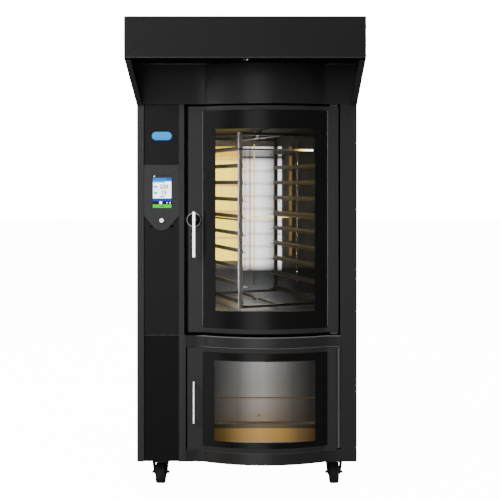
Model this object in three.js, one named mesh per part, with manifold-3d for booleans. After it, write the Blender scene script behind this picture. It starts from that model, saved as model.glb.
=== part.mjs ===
// A free-standing rotating rack oven: a ten-level oven with a turning rack behind a bulged glass
// door, a proofing cabinet below it, a control column on the left and an extraction hood on top.
// x runs to the right, y to the back, z up. Every depth is counted from the front plane of the
// columns, and one group at the end moves the whole oven to its origin under the middle of its box.

import * as THREE from 'three';
import { mergeVertices } from 'three/addons/utils/BufferGeometryUtils.js';
import Module from 'manifold-3d';

const wasm = await Module();
wasm.setup();

// Driving dimensions

const HALF_WIDTH = 525;
const BODY_DEPTH = 1150;
const REAR_SHEET = 1127;
const HOOD_REACH = 394;
const SHEET = 3;
const THIN_SHEET = 2;
const GAP = 0.3;

const LEVEL = {
  bodyBottom: 142, plinthTop: 200, lowerDoorTop: 688, fasciaTop: 745, seam: 748,
  doorBottom: 761, doorTop: 1838, frontTop: 1848, roof: 2040, fasciaBottom: 2015,
  hoodFloor: 2043, hoodTop: 2196, cheekBottom: 1841,
};

// Places across the front, from left to right
const STRIP_EDGE = -491;
const POST = { left: -325, right: -299, lowerRight: -292, depth: 52 };
const RIGHT_COLUMN = 445;

// The bulge that the doors, the fascias and the plinth share
const BULGE = { left: -209, right: 384, rise: 63, steps: 20 };
const BULGE_MIDDLE = (BULGE.left + BULGE.right) / 2;
const BULGE_HALF = (BULGE.right - BULGE.left) / 2;
const BULGE_RADIUS = (BULGE_HALF ** 2 + BULGE.rise ** 2) / (2 * BULGE.rise);

const CONTROL = {
  plateTop: 1559, shoulder: 1316, lowest: 1245, slope: 50, recess: 6,
  display: { left: -453, right: -360, bottom: 1354, top: 1508 },
  button: { x: -407, z: 1294, radius: 13 },
  lamp: { x: -406.5, z: 1697, width: 96, height: 40 },
};

const CAVITY = { left: -320, right: 452, front: 62, baffle: 856, back: 945, bottom: 848, top: 1750 };
const MOUTH = { left: -205, right: 372, bottom: 852, top: 1746 };
const SURROUND_FRONT = 55;
const INSULATION = { left: -380, right: 515, bottom: 788, top: 1812, back: 1005 };
const LAMP = { left: -42, right: 190, bottom: 973, top: 1680, front: 824, thickness: 6, stud: 5 };
const CONVECTION = { x: 66, y: 925, z: 1300, radius: 150, depth: 50, blades: 10, shaft: 9 };

const SPINDLE = { x: 56, y: 448, radius: 14 };
const RACK = {
  turn: 22, halfWidth: 213, halfDepth: 285, post: 18, bottom: 860, top: 1721,
  levels: 10, lowestRail: 879, pitch: 84, railHeight: 18, railWidth: 26, railSheet: 2, tie: 9, frontTie: 1638,
};

const DOOR = {
  left: -280, right: 437, depth: 45, topRail: 20, bottomRail: 22, glass: 6,
  innerGlass: { front: 34, back: 40 }, hinge: { x: 415, y: 12, pin: 6 },
};
const HANDLE = { x: -252.6, z: 1297, bottom: 1123, top: 1336, width: 16, reach: 52, rosette: 35 };

const PROOFER = {
  left: -275, right: 425, front: 61, back: 480, bottom: 201.3, top: 680, shelf: 430,
  pan: { left: -200, right: 370, front: 100, back: 175, top: 274 },
  mouth: { left: -205, right: 372, bottom: 222, top: 664 },
};
const LOWER_DOOR = {
  left: -284, right: 430, rail: 20, handle: { bottom: 335, top: 532, radius: 4.5 },
  hinge: { x: 438, y: -2, barrel: 5.5, bottom: 210, top: 676 },
};

const HOOD = {
  back: 620, lip: 20, flange: 26, filterTop: 2062,
  outlet: { y: 300, radius: 100, height: 80 }, spout: { x: -3, radius: 6, bottom: 2003 },
};

const CASTER = {
  x: 424, front: 100, rear: 1050, trail: 24, radius: 55, width: 48, axle: 55, fork: 62,
};

// Finishes

const FINISH = {
  blackSheet: [0x242424, 0.45, 0.3], darkSheet: [0x171717, 0.5, 0.3], stileSheet: [0x363636, 0.4, 0.3],
  stainless: [0x9a9a98, 0.3, 1], brightSteel: [0xd8d8d8, 0.18, 1], zinc: [0x8c9094, 0.4, 1],
  glass: [0x0d0d0f, 0.05, 0], screen: [0x4f9be0, 0.15, 0], blueLens: [0x2f9be8, 0.3, 0],
  whiteLamp: [0xfff2d0, 0.3, 0], rubber: [0x101010, 0.8, 0],
  wool: [0xb9ac8c, 0.95, 0], castMotor: [0x4a5258, 0.6, 0.4],
};

// Solids: three.js shapes, joined and cut as closed bodies

function solid(geometry) {
  const bare = geometry.index ? geometry.toNonIndexed() : geometry;
  bare.deleteAttribute('normal');
  bare.deleteAttribute('uv');
  const merged = mergeVertices(bare, 1e-4);
  return new wasm.Manifold(new wasm.Mesh({
    numProp: 3,
    vertProperties: merged.attributes.position.array,
    triVerts: new Uint32Array(merged.index.array),
  }));
}

function geometryOf(body) {
  const mesh = body.getMesh();
  const geometry = new THREE.BufferGeometry();
  geometry.setAttribute('position', new THREE.BufferAttribute(new Float32Array(mesh.vertProperties), 3));
  geometry.setIndex(new THREE.BufferAttribute(new Uint32Array(mesh.triVerts), 1));
  const faceted = geometry.toNonIndexed();
  faceted.computeVertexNormals();
  return faceted;
}

const joined = (bodies) => bodies.reduce((sum, body) => sum.add(body));
const cutBy = (body, tools) => tools.reduce((rest, tool) => rest.subtract(tool), body);

function block([x0, x1], [y0, y1], [z0, z1]) {
  const box = new THREE.BoxGeometry(x1 - x0, y1 - y0, z1 - z0);
  box.translate((x0 + x1) / 2, (y0 + y1) / 2, (z0 + z1) / 2);
  return solid(box);
}

// A round bar along x, y or z, from one end to the other
function bar(axis, [x, y, z], length, radius, sides = 20, endRadius = radius) {
  const cylinder = new THREE.CylinderGeometry(endRadius, radius, length, sides);
  cylinder.translate(0, length / 2, 0);
  if (axis === 'x') cylinder.rotateZ(-Math.PI / 2);
  if (axis === 'z') cylinder.rotateX(Math.PI / 2);
  cylinder.translate(x, y, z);
  return solid(cylinder);
}

function outline(points) {
  return new THREE.Shape(points.map(([a, b]) => new THREE.Vector2(a, b)));
}

// A profile drawn in plan (x, y), raised from z0 to z1
function raised(points, z0, z1) {
  const prism = new THREE.ExtrudeGeometry(outline(points), { depth: z1 - z0, bevelEnabled: false });
  prism.translate(0, 0, z0);
  return solid(prism);
}

// A profile drawn from the side (y, z), drawn out from x0 to x1
function drawnAcross(points, x0, x1) {
  const prism = new THREE.ExtrudeGeometry(outline(points), { depth: x1 - x0, bevelEnabled: false });
  prism.applyMatrix4(new THREE.Matrix4().set(0, 0, 1, x0, 1, 0, 0, 0, 0, 1, 0, 0, 0, 0, 0, 1));
  return solid(prism);
}

// A profile drawn from the front (x, z), drawn back from y0 to y1
function drawnBack(points, y0, y1) {
  const prism = new THREE.ExtrudeGeometry(outline(points), { depth: y1 - y0, bevelEnabled: false });
  prism.applyMatrix4(new THREE.Matrix4().set(1, 0, 0, 0, 0, 0, -1, y1, 0, 1, 0, 0, 0, 0, 0, 1));
  return solid(prism);
}

// Points on the bulge, from one x to another, at a depth behind its skin
function bulgeLine(inset, from = BULGE.left, to = BULGE.right) {
  const centre = BULGE_RADIUS - BULGE.rise;
  return Array.from({ length: BULGE.steps + 1 }, (_, step) => {
    const x = from + ((to - from) * step) / BULGE.steps;
    return [x, centre - Math.sqrt((BULGE_RADIUS - inset) ** 2 - (x - BULGE_MIDDLE) ** 2)];
  });
}

// A sheet panel that follows the front: flat at both ends and bulged between them
function frontSheet(left, right, z0, z1, thickness = SHEET) {
  const skin = [[left, 0], ...bulgeLine(0), [right, 0]];
  const inside = [[left, thickness], ...bulgeLine(thickness), [right, thickness]];
  return raised([...skin, ...inside.reverse()], z0, z1);
}

// A box of sheet with its front open
function openBox(inside, wall, front) {
  const outer = block(
    [inside.left - wall, inside.right + wall], [front, inside.back + wall],
    [inside.bottom - wall, inside.top + wall],
  );
  return outer.subtract(block(
    [inside.left, inside.right], [front - 1, inside.back], [inside.bottom, inside.top],
  ));
}

// A plate that frames a mouth
function frameAround(outer, mouth, y0, y1) {
  const plate = block([outer.left, outer.right], [y0, y1], [outer.bottom, outer.top]);
  return plate.subtract(block(
    [mouth.left, mouth.right], [y0 - 1, y1 + 1], [mouth.bottom, mouth.top],
  ));
}

// A fan wheel about its own z axis: back disc, hub and straight blades
function fanWheel(radius, depth, hub, blades) {
  const wheel = [bar('z', [0, 0, 0], SHEET, radius, 32), bar('z', [0, 0, 0], depth, hub, 20)];
  for (let blade = 0; blade < blades; blade += 1) {
    const plate = new THREE.BoxGeometry(radius * 0.4, SHEET, depth - 1);
    plate.translate(radius * 0.72, 0, depth / 2);
    plate.rotateZ((2 * Math.PI * blade) / blades);
    wheel.push(solid(plate));
  }
  return joined(wheel);
}

const frontPlane = new THREE.Group();
frontPlane.position.y = -(BODY_DEPTH - HOOD_REACH) / 2;

function place(name, body, [color, roughness, metalness], group = frontPlane) {
  const material = new THREE.MeshStandardMaterial({ color, roughness, metalness });
  const mesh = new THREE.Mesh(geometryOf(body), material);
  mesh.name = name;
  group.add(mesh);
  return mesh;
}

// Casing

function baseFrame() {
  const { bodyBottom } = LEVEL;
  const beam = 46;
  const top = bodyBottom + 56;
  const out = HALF_WIDTH - SHEET - GAP;
  const front = POST.depth + 1;
  const ring = block([-out, out], [front, REAR_SHEET - GAP], [bodyBottom, top]).subtract(
    block([beam - out, out - beam], [front + beam, REAR_SHEET - beam], [0, 2 * top]));
  const middle = BODY_DEPTH / 2;
  const crossBeam = block([-out + 10, out - 10], [middle - 25, middle + 25], [bodyBottom, top]);
  const plates = casterPlaces().map(({ x, y }) => (
    block([x - 46, x + 46], [y - 46, y + 46], [bodyBottom, bodyBottom + 8])));
  return joined([ring, crossBeam, ...plates]);
}

// A side sheet with its front return: the profile is drawn for the left side
function leftSidePanel() {
  const lip = 12;
  const profile = [
    [-HALF_WIDTH, 0], [STRIP_EDGE - GAP, 0], [STRIP_EDGE - GAP, lip], [STRIP_EDGE - SHEET, lip],
    [STRIP_EDGE - SHEET, SHEET], [SHEET - HALF_WIDTH, SHEET],
    [SHEET - HALF_WIDTH, BODY_DEPTH], [-HALF_WIDTH, BODY_DEPTH],
  ];
  return sideWithoutTopReturn(raised(profile, LEVEL.bodyBottom, LEVEL.roof - GAP));
}

function rightSidePanel() {
  const inner = RIGHT_COLUMN + GAP;
  const profile = [
    [HALF_WIDTH, 0], [inner, 0], [inner, POST.depth], [inner + SHEET, POST.depth],
    [inner + SHEET, SHEET], [HALF_WIDTH - SHEET, SHEET],
    [HALF_WIDTH - SHEET, BODY_DEPTH], [HALF_WIDTH, BODY_DEPTH],
  ];
  return sideWithoutTopReturn(raised(profile, LEVEL.bodyBottom, LEVEL.roof - GAP));
}

// The upper front panel runs the whole width, so the side's front return stops below it
function sideWithoutTopReturn(side) {
  const inner = HALF_WIDTH - SHEET;
  return side.subtract(block([-inner, inner], [-1, POST.depth + 1], [LEVEL.frontTop - GAP, LEVEL.hoodTop]));
}

// The rear sheet with two fields of vents, the cable gland and the water inlet
function rearPanel() {
  const wide = HALF_WIDTH - SHEET - GAP;
  const sheet = block([-wide, wide], [REAR_SHEET, REAR_SHEET + SHEET], [LEVEL.bodyBottom, LEVEL.roof - GAP]);
  const vents = [];
  for (const middle of [500, 1900]) {
    for (let row = -3; row <= 3; row += 1) {
      const z = middle + row * 28;
      vents.push(block([-180, 180], [REAR_SHEET - 1, BODY_DEPTH], [z - 4, z + 4]));
    }
  }
  const fitting = BODY_DEPTH - 1 - REAR_SHEET;
  const gland = bar('y', [-430, REAR_SHEET, 1960], fitting, 18, 12);
  const waterInlet = bar('y', [430, REAR_SHEET, 260], fitting, 13, 12);
  return joined([cutBy(sheet, vents), gland, waterInlet]);
}

function roofPanel() {
  return block([-HALF_WIDTH, HALF_WIDTH], [0, BODY_DEPTH], [LEVEL.roof, LEVEL.hoodFloor - GAP]);
}

// The post beside the door gap, open at its back, with the keeper that the latch arm turns behind
function controlColumn() {
  const channel = (right, z0, z1) => raised([
    [POST.left, 0], [right, 0], [right, POST.depth], [right - SHEET, POST.depth], [right - SHEET, SHEET],
    [POST.left + SHEET, SHEET], [POST.left + SHEET, POST.depth], [POST.left, POST.depth],
  ], z0, z1);
  const keeper = block([POST.right - 1, POST.right + 14], [38, 44], [HANDLE.z - 14, HANDLE.z + 14]);
  return joined([
    channel(POST.right, LEVEL.seam - 1, LEVEL.frontTop - GAP),
    channel(POST.lowerRight, LEVEL.bodyBottom, LEVEL.seam),
    keeper,
  ]);
}

function columnPanel(z0, z1) {
  const { recess } = CONTROL;
  return block([STRIP_EDGE, POST.left - GAP], [recess, recess + SHEET], [z0, z1]);
}

// The upper column panel is open behind the control plate, for the display and the button
function upperColumnPanel() {
  const { recess, display, button } = CONTROL;
  const window = block(
    [display.left - 10, display.right + 10], [recess - 1, recess + SHEET + 1],
    [button.z - 25, display.top + 10],
  );
  return columnPanel(LEVEL.seam + 1, LEVEL.frontTop - GAP).subtract(window);
}

function upperFrontPanel() {
  const inner = HALF_WIDTH - SHEET - GAP;
  return frontSheet(-inner, inner, LEVEL.frontTop, LEVEL.roof - GAP);
}

place('base_frame', baseFrame(), FINISH.zinc);
place('left_side_panel', leftSidePanel(), FINISH.blackSheet);
place('right_side_panel', rightSidePanel(), FINISH.blackSheet);
place('rear_panel', rearPanel(), FINISH.blackSheet);
place('roof_panel', roofPanel(), FINISH.stainless);
place('control_column', controlColumn(), FINISH.blackSheet);
place('column_panel_upper', upperColumnPanel(), FINISH.blackSheet);
place('column_panel_lower', columnPanel(LEVEL.bodyBottom, LEVEL.seam - 1), FINISH.darkSheet);
place('plinth_panel', frontSheet(POST.lowerRight + GAP, RIGHT_COLUMN, LEVEL.bodyBottom,
  LEVEL.plinthTop - 1), FINISH.blackSheet);
place('middle_front_panel', frontSheet(POST.lowerRight + GAP, RIGHT_COLUMN, LEVEL.lowerDoorTop + 2,
  LEVEL.fasciaTop), FINISH.darkSheet);
place('upper_front_panel', upperFrontPanel(), FINISH.blackSheet);

// Controls

// The shield-shaped plate: square above, with sloping shoulders that run into a round foot
function controlPlate() {
  const { plateTop, shoulder, lowest, slope, recess, display, button } = CONTROL;
  const left = STRIP_EDGE;
  const right = POST.left - GAP;
  const middle = (left + right) / 2;
  const half = (right - left) / 2;
  const angle = (slope * Math.PI) / 180;
  const footRadius = (half * Math.tan(angle) - (shoulder - lowest)) / (1 / Math.cos(angle) - 1);
  const foot = Array.from({ length: 9 }, (_, step) => {
    const turn = 1.5 * Math.PI + angle * (step / 4 - 1);
    return [middle + footRadius * Math.cos(turn), lowest + footRadius * (1 + Math.sin(turn))];
  });
  const plate = drawnBack(
    [[left, plateTop], [left, shoulder], ...foot, [right, shoulder], [right, plateTop]], 1.5, recess - GAP);
  return cutBy(plate, [
    block([display.left - GAP, display.right + GAP], [0, 9], [display.bottom - GAP, display.top + GAP]),
    bar('y', [button.x, 0, button.z], 9, button.radius + GAP, 28),
  ]);
}

function touchDisplay() {
  const { display } = CONTROL;
  const screen = block([display.left, display.right], [0.5, 12], [display.bottom, display.top]);
  const electronics = block([display.left - 6, display.right + 6], [12, 32],
    [display.bottom - 6, display.top + 6]);
  return screen.add(electronics);
}

// A round cap on a narrower plunger
function powerButton() {
  const { x, z, radius } = CONTROL.button;
  return bar('y', [x, -3, z], 13, radius, 28).add(bar('y', [x, 9, z], 16, radius * 0.6, 16));
}

// A plain lens with round ends, in front of the panel
function statusLamp() {
  const { x, z, width, height } = CONTROL.lamp;
  const reach = (width - height) / 2;
  const ends = [-1, 1].flatMap((side) => Array.from({ length: 9 }, (_, step) => {
    const turn = Math.PI * (step / 8) - (side * Math.PI) / 2;
    return [x + side * reach + (height / 2) * Math.cos(turn), z + (height / 2) * Math.sin(turn)];
  }));
  return drawnBack(ends, 2, CONTROL.recess - GAP);
}

place('control_plate', controlPlate(), FINISH.stileSheet);
place('touch_display', touchDisplay(), FINISH.screen);
place('power_button', powerButton(), FINISH.brightSteel);
place('status_lamp', statusLamp(), FINISH.blueLens);

// Oven

function ovenSurround() {
  const outer = {
    left: CAVITY.left - SHEET, right: CAVITY.right + SHEET, bottom: LEVEL.seam, top: LEVEL.doorTop,
  };
  return frameAround(outer, MOUTH, SURROUND_FRONT, SURROUND_FRONT + SHEET);
}

// The stainless box with the rack's bottom pivot, open for the spindle and the fan shaft
function ovenLiner() {
  const box = openBox(CAVITY, SHEET, SURROUND_FRONT + SHEET + GAP);
  const holes = [
    bar('z', [SPINDLE.x, SPINDLE.y, CAVITY.top - 5], 15, SPINDLE.radius + 2),
    bar('y', [CONVECTION.x, CAVITY.back - 5, CONVECTION.z], 15, CONVECTION.shaft + 3),
  ];
  const pivot = bar('z', [SPINDLE.x, SPINDLE.y, CAVITY.bottom - 1], 18, 10);
  return cutBy(box, holes).add(pivot);
}

function insulationJacket() {
  const { left, right, bottom, top, back } = INSULATION;
  const skin = SHEET + GAP;
  const hollow = block(
    [CAVITY.left - skin, CAVITY.right + skin], [0, CAVITY.back + skin],
    [CAVITY.bottom - skin, CAVITY.top + skin],
  );
  return cutBy(block([left, right], [SURROUND_FRONT + SHEET + GAP, back], [bottom, top]), [
    hollow,
    bar('z', [SPINDLE.x, SPINDLE.y, top - 100], 150, SPINDLE.radius + 4),
    bar('y', [CONVECTION.x, back - 100, CONVECTION.z], 150, CONVECTION.shaft + 4),
  ]);
}

// The sheet in front of the fan: a round inlet and rows of outlet slots at both sides
function rearAirBaffle() {
  const sheet = block(
    [CAVITY.left + GAP, CAVITY.right - GAP], [CAVITY.baffle, CAVITY.baffle + SHEET],
    [CAVITY.bottom + GAP, CAVITY.top - GAP],
  );
  const intake = CONVECTION.radius * 0.8;
  const openings = [bar('y', [CONVECTION.x, CAVITY.baffle - 1, CONVECTION.z], 9, intake, 28)];
  for (const side of [-1, 1]) {
    for (let row = 0; row < 9; row += 1) {
      const x = CONVECTION.x + side * 325;
      const z = CAVITY.bottom + 90 + row * 90;
      openings.push(block([x - 10, x + 10], [CAVITY.baffle - 1, CAVITY.baffle + 9], [z - 30, z + 30]));
    }
  }
  return cutBy(sheet, openings);
}

function doorGasket() {
  const width = 10;
  const outer = {
    left: MOUTH.left - width, right: MOUTH.right + width,
    bottom: MOUTH.bottom - width, top: MOUTH.top + width,
  };
  return frameAround(outer, MOUTH, DOOR.depth + 0.5, SURROUND_FRONT - GAP);
}

// A lit glass plate that stands in front of the baffle on four studs and spreads the fan's air
function cavityLamp() {
  const { left, right, bottom, top, front, thickness, stud } = LAMP;
  const plate = block([left, right], [front, front + thickness], [bottom, top]);
  const inset = 14;
  const studs = [left + inset, right - inset].flatMap((x) => [bottom + inset, top - inset].map((z) => (
    bar('y', [x, front + 1, z], CAVITY.baffle - GAP - front - 1, stud, 12))));
  return joined([plate, ...studs]);
}

// A ring around the fan wheel with two legs to the back wall
function heatingElement() {
  const y = CONVECTION.y - CONVECTION.depth / 2;
  const ring = new THREE.TorusGeometry(CONVECTION.radius + 35, 6, 8, 40);
  ring.rotateX(Math.PI / 2);
  ring.translate(CONVECTION.x, y, CONVECTION.z);
  const legs = [-25, 25].map((side) => bar(
    'y', [CONVECTION.x + side, y, CONVECTION.z - CONVECTION.radius - 33],
    CAVITY.back - y - GAP, 6, 8));
  return joined([solid(ring), ...legs]);
}

function convectionFan() {
  const { radius, depth, blades, shaft } = CONVECTION;
  const axleLength = INSULATION.back + 12 - CONVECTION.y;
  return fanWheel(radius, depth, 30, blades).add(bar('z', [0, 0, -axleLength], axleLength + 1, shaft, 16));
}

function fanMotor() {
  const { x, z, shaft } = CONVECTION;
  const front = INSULATION.back + GAP;
  return joined([
    bar('y', [x, front, z], 12, 78, 24), bar('y', [x, front, z], 112, 60, 24),
  ]).subtract(bar('y', [x, front - 1, z], 24, shaft + 1, 16));
}

place('oven_surround', ovenSurround(), FINISH.stainless);
place('oven_liner', ovenLiner(), FINISH.stainless);
place('insulation_jacket', insulationJacket(), FINISH.wool);
place('rear_air_baffle', rearAirBaffle(), FINISH.stainless);
place('door_gasket', doorGasket(), FINISH.rubber);
place('cavity_lamp', cavityLamp(), FINISH.whiteLamp);
place('heating_element', heatingElement(), FINISH.castMotor);
const convectionWheel = place('convection_fan', convectionFan(), FINISH.stainless);
convectionWheel.rotation.x = Math.PI / 2;
convectionWheel.position.set(CONVECTION.x, CONVECTION.y, CONVECTION.z);
place('fan_motor', fanMotor(), FINISH.castMotor);

// Rack drive

// The gearbox stands on the spindle's bearing hub, above the insulation, with the motor beside it
function gearmotor() {
  const { x, y, radius } = SPINDLE;
  const bottom = INSULATION.top + GAP;
  const floor = INSULATION.top + 48;
  const flange = block([x - 70, x + 70], [y - 70, y + 70], [bottom, bottom + 8]);
  const hub = bar('z', [x, y, bottom], floor + 1 - bottom, 42, 24);
  const gearbox = block([x - 62, x + 62], [y - 62, y + 62], [floor, floor + 96]);
  const motor = bar('y', [x, y + 50, floor + 48], 210, 46, 24);
  const bore = bar('z', [x, y, bottom - 1], floor + 60 - bottom, radius + 1, 28);
  return joined([flange, hub, gearbox, motor]).subtract(bore);
}

// The spindle stands on the rack's top frame and ends inside the gearbox
function driveSpindle() {
  const bottom = RACK.top + GAP;
  const disc = bar('z', [0, 0, bottom], 8, 40, 24);
  return disc.add(bar('z', [0, 0, bottom], INSULATION.top + 90 - bottom, SPINDLE.radius, 24));
}

place('gearmotor', gearmotor(), FINISH.castMotor);

// Rotating rack, in its own frame: the trays slide in along y

const rack = new THREE.Group();
rack.position.set(SPINDLE.x, SPINDLE.y, 0);
rack.rotation.z = (RACK.turn * Math.PI) / 180;
frontPlane.add(rack);

// One side: two posts, a tie at mid height and a rail at each level. side is -1 or 1. The left
// side also carries the tie that crosses the rack's front under the top level
function rackSide(side) {
  const { halfWidth, halfDepth, post, bottom, top, levels, lowestRail, pitch } = RACK;
  const { railHeight, railWidth, railSheet, tie, frontTie } = RACK;
  const half = post / 2;
  const across = (inner, outer) => (side < 0 ? [-outer, -inner] : [inner, outer]);
  const inner = halfWidth - half;
  const pieces = [-halfDepth, halfDepth].map((y) => (
    block(across(inner, halfWidth + half), [y - half, y + half], [bottom, top])));
  const middle = (bottom + top) / 2;
  pieces.push(block(across(halfWidth - tie / 2, halfWidth + tie / 2), [-halfDepth, halfDepth],
    [middle - tie / 2, middle + tie / 2]));
  if (side < 0) {
    pieces.push(block([-halfWidth, inner - railWidth - GAP], [-halfDepth - tie / 2, tie / 2 - halfDepth],
      [frontTie - tie / 2, frontTie + tie / 2]));
  }
  for (let level = 0; level < levels; level += 1) {
    const z = lowestRail + level * pitch;
    const long = [-halfDepth - half, halfDepth + half];
    pieces.push(block(across(inner - railWidth, inner), long, [z - railSheet, z]));
    pieces.push(block(across(inner - railSheet, inner + 1), long, [z - railSheet, z + railHeight]));
  }
  return joined(pieces);
}

// A flat frame of square bars with a bored boss in its middle, between the two sides
function rackFrame(z0, z1, bore) {
  const { halfWidth, halfDepth, post } = RACK;
  const half = post / 2;
  const wide = halfWidth - half - GAP;
  const rims = [-halfDepth, halfDepth].map((y) => block([-wide, wide], [y - half, y + half], [z0, z1]));
  const spine = block([-15, 15], [-halfDepth, halfDepth], [z0, z1]);
  const boss = bar('z', [0, 0, z0], z1 - z0, 36, 24);
  return joined([...rims, spine, boss]).subtract(bar('z', [0, 0, z0 - 1], z1 - z0 + 2, bore));
}

place('drive_spindle', driveSpindle(), FINISH.stainless, rack);
place('rack_left_side', rackSide(-1), FINISH.stainless, rack);
place('rack_right_side', rackSide(1), FINISH.stainless, rack);
place('rack_top_frame', rackFrame(RACK.top - 14, RACK.top, 8), FINISH.stainless, rack);
place('rack_base_frame', rackFrame(RACK.bottom, RACK.bottom + 12, 10.6), FINISH.stainless, rack);

// Upper door

// A frame with flat stiles and bulged rails; the door's own left, right, bottom and top edges
function bulgedFrame(left, right, z0, z1, bottomRail, topRail) {
  const back = DOOR.depth;
  const profile = [[left, back], [left, 0], ...bulgeLine(0), [right, 0], [right, back]];
  const hollow = [
    [BULGE.left, back + 1], [BULGE.left, -1], ...bulgeLine(-1), [BULGE.right, -1], [BULGE.right, back + 1],
  ];
  return raised(profile, z0, z1).subtract(raised(hollow, z0 + bottomRail, z1 - topRail));
}

// Curved glass just behind the rails' face
function bulgedGlass(z0, z1) {
  const left = BULGE.left + GAP;
  const right = BULGE.right - GAP;
  const front = bulgeLine(1, left, right);
  const back = bulgeLine(1 + DOOR.glass, left, right).reverse();
  return raised([...front, ...back], z0, z1);
}

function doorFrame() {
  const { left, right, bottomRail, topRail, depth, hinge } = DOOR;
  const frame = bulgedFrame(left, right, LEVEL.doorBottom, LEVEL.doorTop, bottomRail, topRail);
  const pinHoles = [LEVEL.doorBottom, LEVEL.doorTop].map((z) => (
    bar('z', [hinge.x, hinge.y, z - 26], 52, hinge.pin + 0.5)));
  const handleBore = bar('y', [HANDLE.x, -1, HANDLE.z], depth + 2, 9);
  return cutBy(frame, [...pinHoles, handleBore]);
}

function innerGlass() {
  const { front, back } = DOOR.innerGlass;
  return block([BULGE.left + GAP, BULGE.right - GAP], [front, back],
    [LEVEL.doorBottom + DOOR.bottomRail + GAP, LEVEL.doorTop - DOOR.topRail - GAP]);
}

// The lever, its neck and its spindle, about the turning line that runs through the door
function doorHandle() {
  const { bottom, top, z, width, reach } = HANDLE;
  const lever = block([-width / 2, width / 2], [-reach, 12 - reach], [bottom - z, top - z]);
  const neck = bar('y', [0, 12 - reach - 1, 0], reach - 12, 11, 20);
  const spindle = bar('y', [0, -3, 0], DOOR.depth + 3 + GAP, 8, 20);
  return joined([lever, neck, spindle]);
}

function handleRosette() {
  const { x, z, rosette } = HANDLE;
  const ring = bar('y', [x, -12, z], 12 - GAP, rosette, 32);
  return ring.subtract(bar('y', [x, -13, z], 20, 12, 20));
}

// The arm behind the door: it hangs with the handle, and turns behind the keeper with it
function doorLatch() {
  const start = DOOR.depth + 2 * GAP;
  const disc = bar('y', [0, start, 0], 7, 12, 20);
  return disc.add(block([-7, 7], [start, start + 7], [-40, 0]));
}

// A bracket bolted to the surround, with its pin in the door
function hingeBracket(z0, z1, pinFrom, pinTo) {
  const { x, y, pin } = DOOR.hinge;
  const plate = block([x - 18, x + 18], [y - 17, SURROUND_FRONT - GAP], [z0, z1]);
  return plate.add(bar('z', [x, y, pinFrom], pinTo - pinFrom, pin, 20));
}

place('door_frame', doorFrame(), FINISH.stileSheet);
place('door_outer_glass', bulgedGlass(LEVEL.doorBottom + DOOR.bottomRail + GAP,
  LEVEL.doorTop - DOOR.topRail - GAP), FINISH.glass);
place('door_inner_glass', innerGlass(), FINISH.glass);
for (const [name, body, finish] of [
  ['door_handle', doorHandle(), FINISH.brightSteel], ['door_latch', doorLatch(), FINISH.zinc],
]) {
  place(name, body, finish).position.set(HANDLE.x, 0, HANDLE.z);
}
place('handle_rosette', handleRosette(), FINISH.brightSteel);
place('upper_hinge_top', hingeBracket(LEVEL.doorTop + 0.6, LEVEL.doorTop + 8, LEVEL.doorTop - 20,
  LEVEL.doorTop + 4), FINISH.brightSteel);
place('upper_hinge_bottom', hingeBracket(LEVEL.doorBottom - 9, LEVEL.doorBottom - 0.6,
  LEVEL.doorBottom - 4, LEVEL.doorBottom + 20), FINISH.brightSteel);

// Proofing cabinet

function prooferLiner() {
  const { front, back, left, right, bottom, top, mouth } = PROOFER;
  const inside = { left, right, bottom, top, back };
  const flange = frameAround(
    { left: left - 12, right: right + 12, bottom: bottom - SHEET, top: top + 6 }, mouth,
    SURROUND_FRONT, front - GAP);
  return openBox(inside, SHEET, SURROUND_FRONT + 1).add(flange);
}

// Two tray runners, tied by a round stop bar across their front ends
function prooferShelf() {
  const { left, right, back, front, shelf } = PROOFER;
  const ledge = 25;
  const drop = 12;
  const stop = 2.5;
  const long = [front + 14, back - GAP];
  const runners = [
    block([left + GAP, left + ledge], long, [shelf - THIN_SHEET, shelf]),
    block([left + GAP, left + GAP + THIN_SHEET], long, [shelf - drop, shelf]),
    block([right - ledge, right - GAP], long, [shelf - THIN_SHEET, shelf]),
    block([right - GAP - THIN_SHEET, right - GAP], long, [shelf - drop, shelf]),
  ];
  const across = right - left - 2 * (GAP + 1);
  return joined([...runners, bar('x', [left + GAP + 1, front + 17, shelf - 1], across, stop, 12)]);
}

// The humidity trough inside the door, open at its top
function waterPan() {
  const { left, right, front, back, top } = PROOFER.pan;
  const bottom = PROOFER.bottom + GAP;
  return block([left, right], [front, back], [bottom, top]).subtract(
    block([left + SHEET, right - SHEET], [front + SHEET, back - SHEET], [bottom + SHEET, top + 1]));
}

function lowerDoorFrame() {
  const { left, right, rail } = LOWER_DOOR;
  return bulgedFrame(left, right, LEVEL.plinthTop, LEVEL.lowerDoorTop, rail, rail);
}

// A round bar on two standoffs
function lowerDoorHandle() {
  const { bottom, top, radius } = LOWER_DOOR.handle;
  const reach = 34;
  const standoffs = [bottom + 18, top - 18].map((z) => (
    bar('y', [HANDLE.x, -reach, z], reach - GAP, radius, 12)));
  return joined([bar('z', [HANDLE.x, -reach, bottom], top - bottom, radius, 16), ...standoffs]);
}

// The long leaf beside the lower door, with its barrel on the hinge line
function lowerHingeLeaf() {
  const { x, y, barrel, bottom, top } = LOWER_DOOR.hinge;
  const leaf = block([x - 2, RIGHT_COLUMN - GAP], [y, POST.depth], [bottom, top]);
  return leaf.add(bar('z', [x, y, bottom], top + 9 - bottom, barrel, 16));
}

place('proofer_liner', prooferLiner(), FINISH.stainless);
place('proofer_shelf', prooferShelf(), FINISH.stainless);
place('water_pan', waterPan(), FINISH.stainless);
place('lower_door_frame', lowerDoorFrame(), FINISH.stileSheet);
place('lower_door_glass', bulgedGlass(LEVEL.plinthTop + LOWER_DOOR.rail + GAP,
  LEVEL.lowerDoorTop - LOWER_DOOR.rail - GAP), FINISH.glass);
place('lower_door_handle', lowerDoorHandle(), FINISH.brightSteel);
place('lower_hinge_leaf', lowerHingeLeaf(), FINISH.zinc);

// Hood

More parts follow.
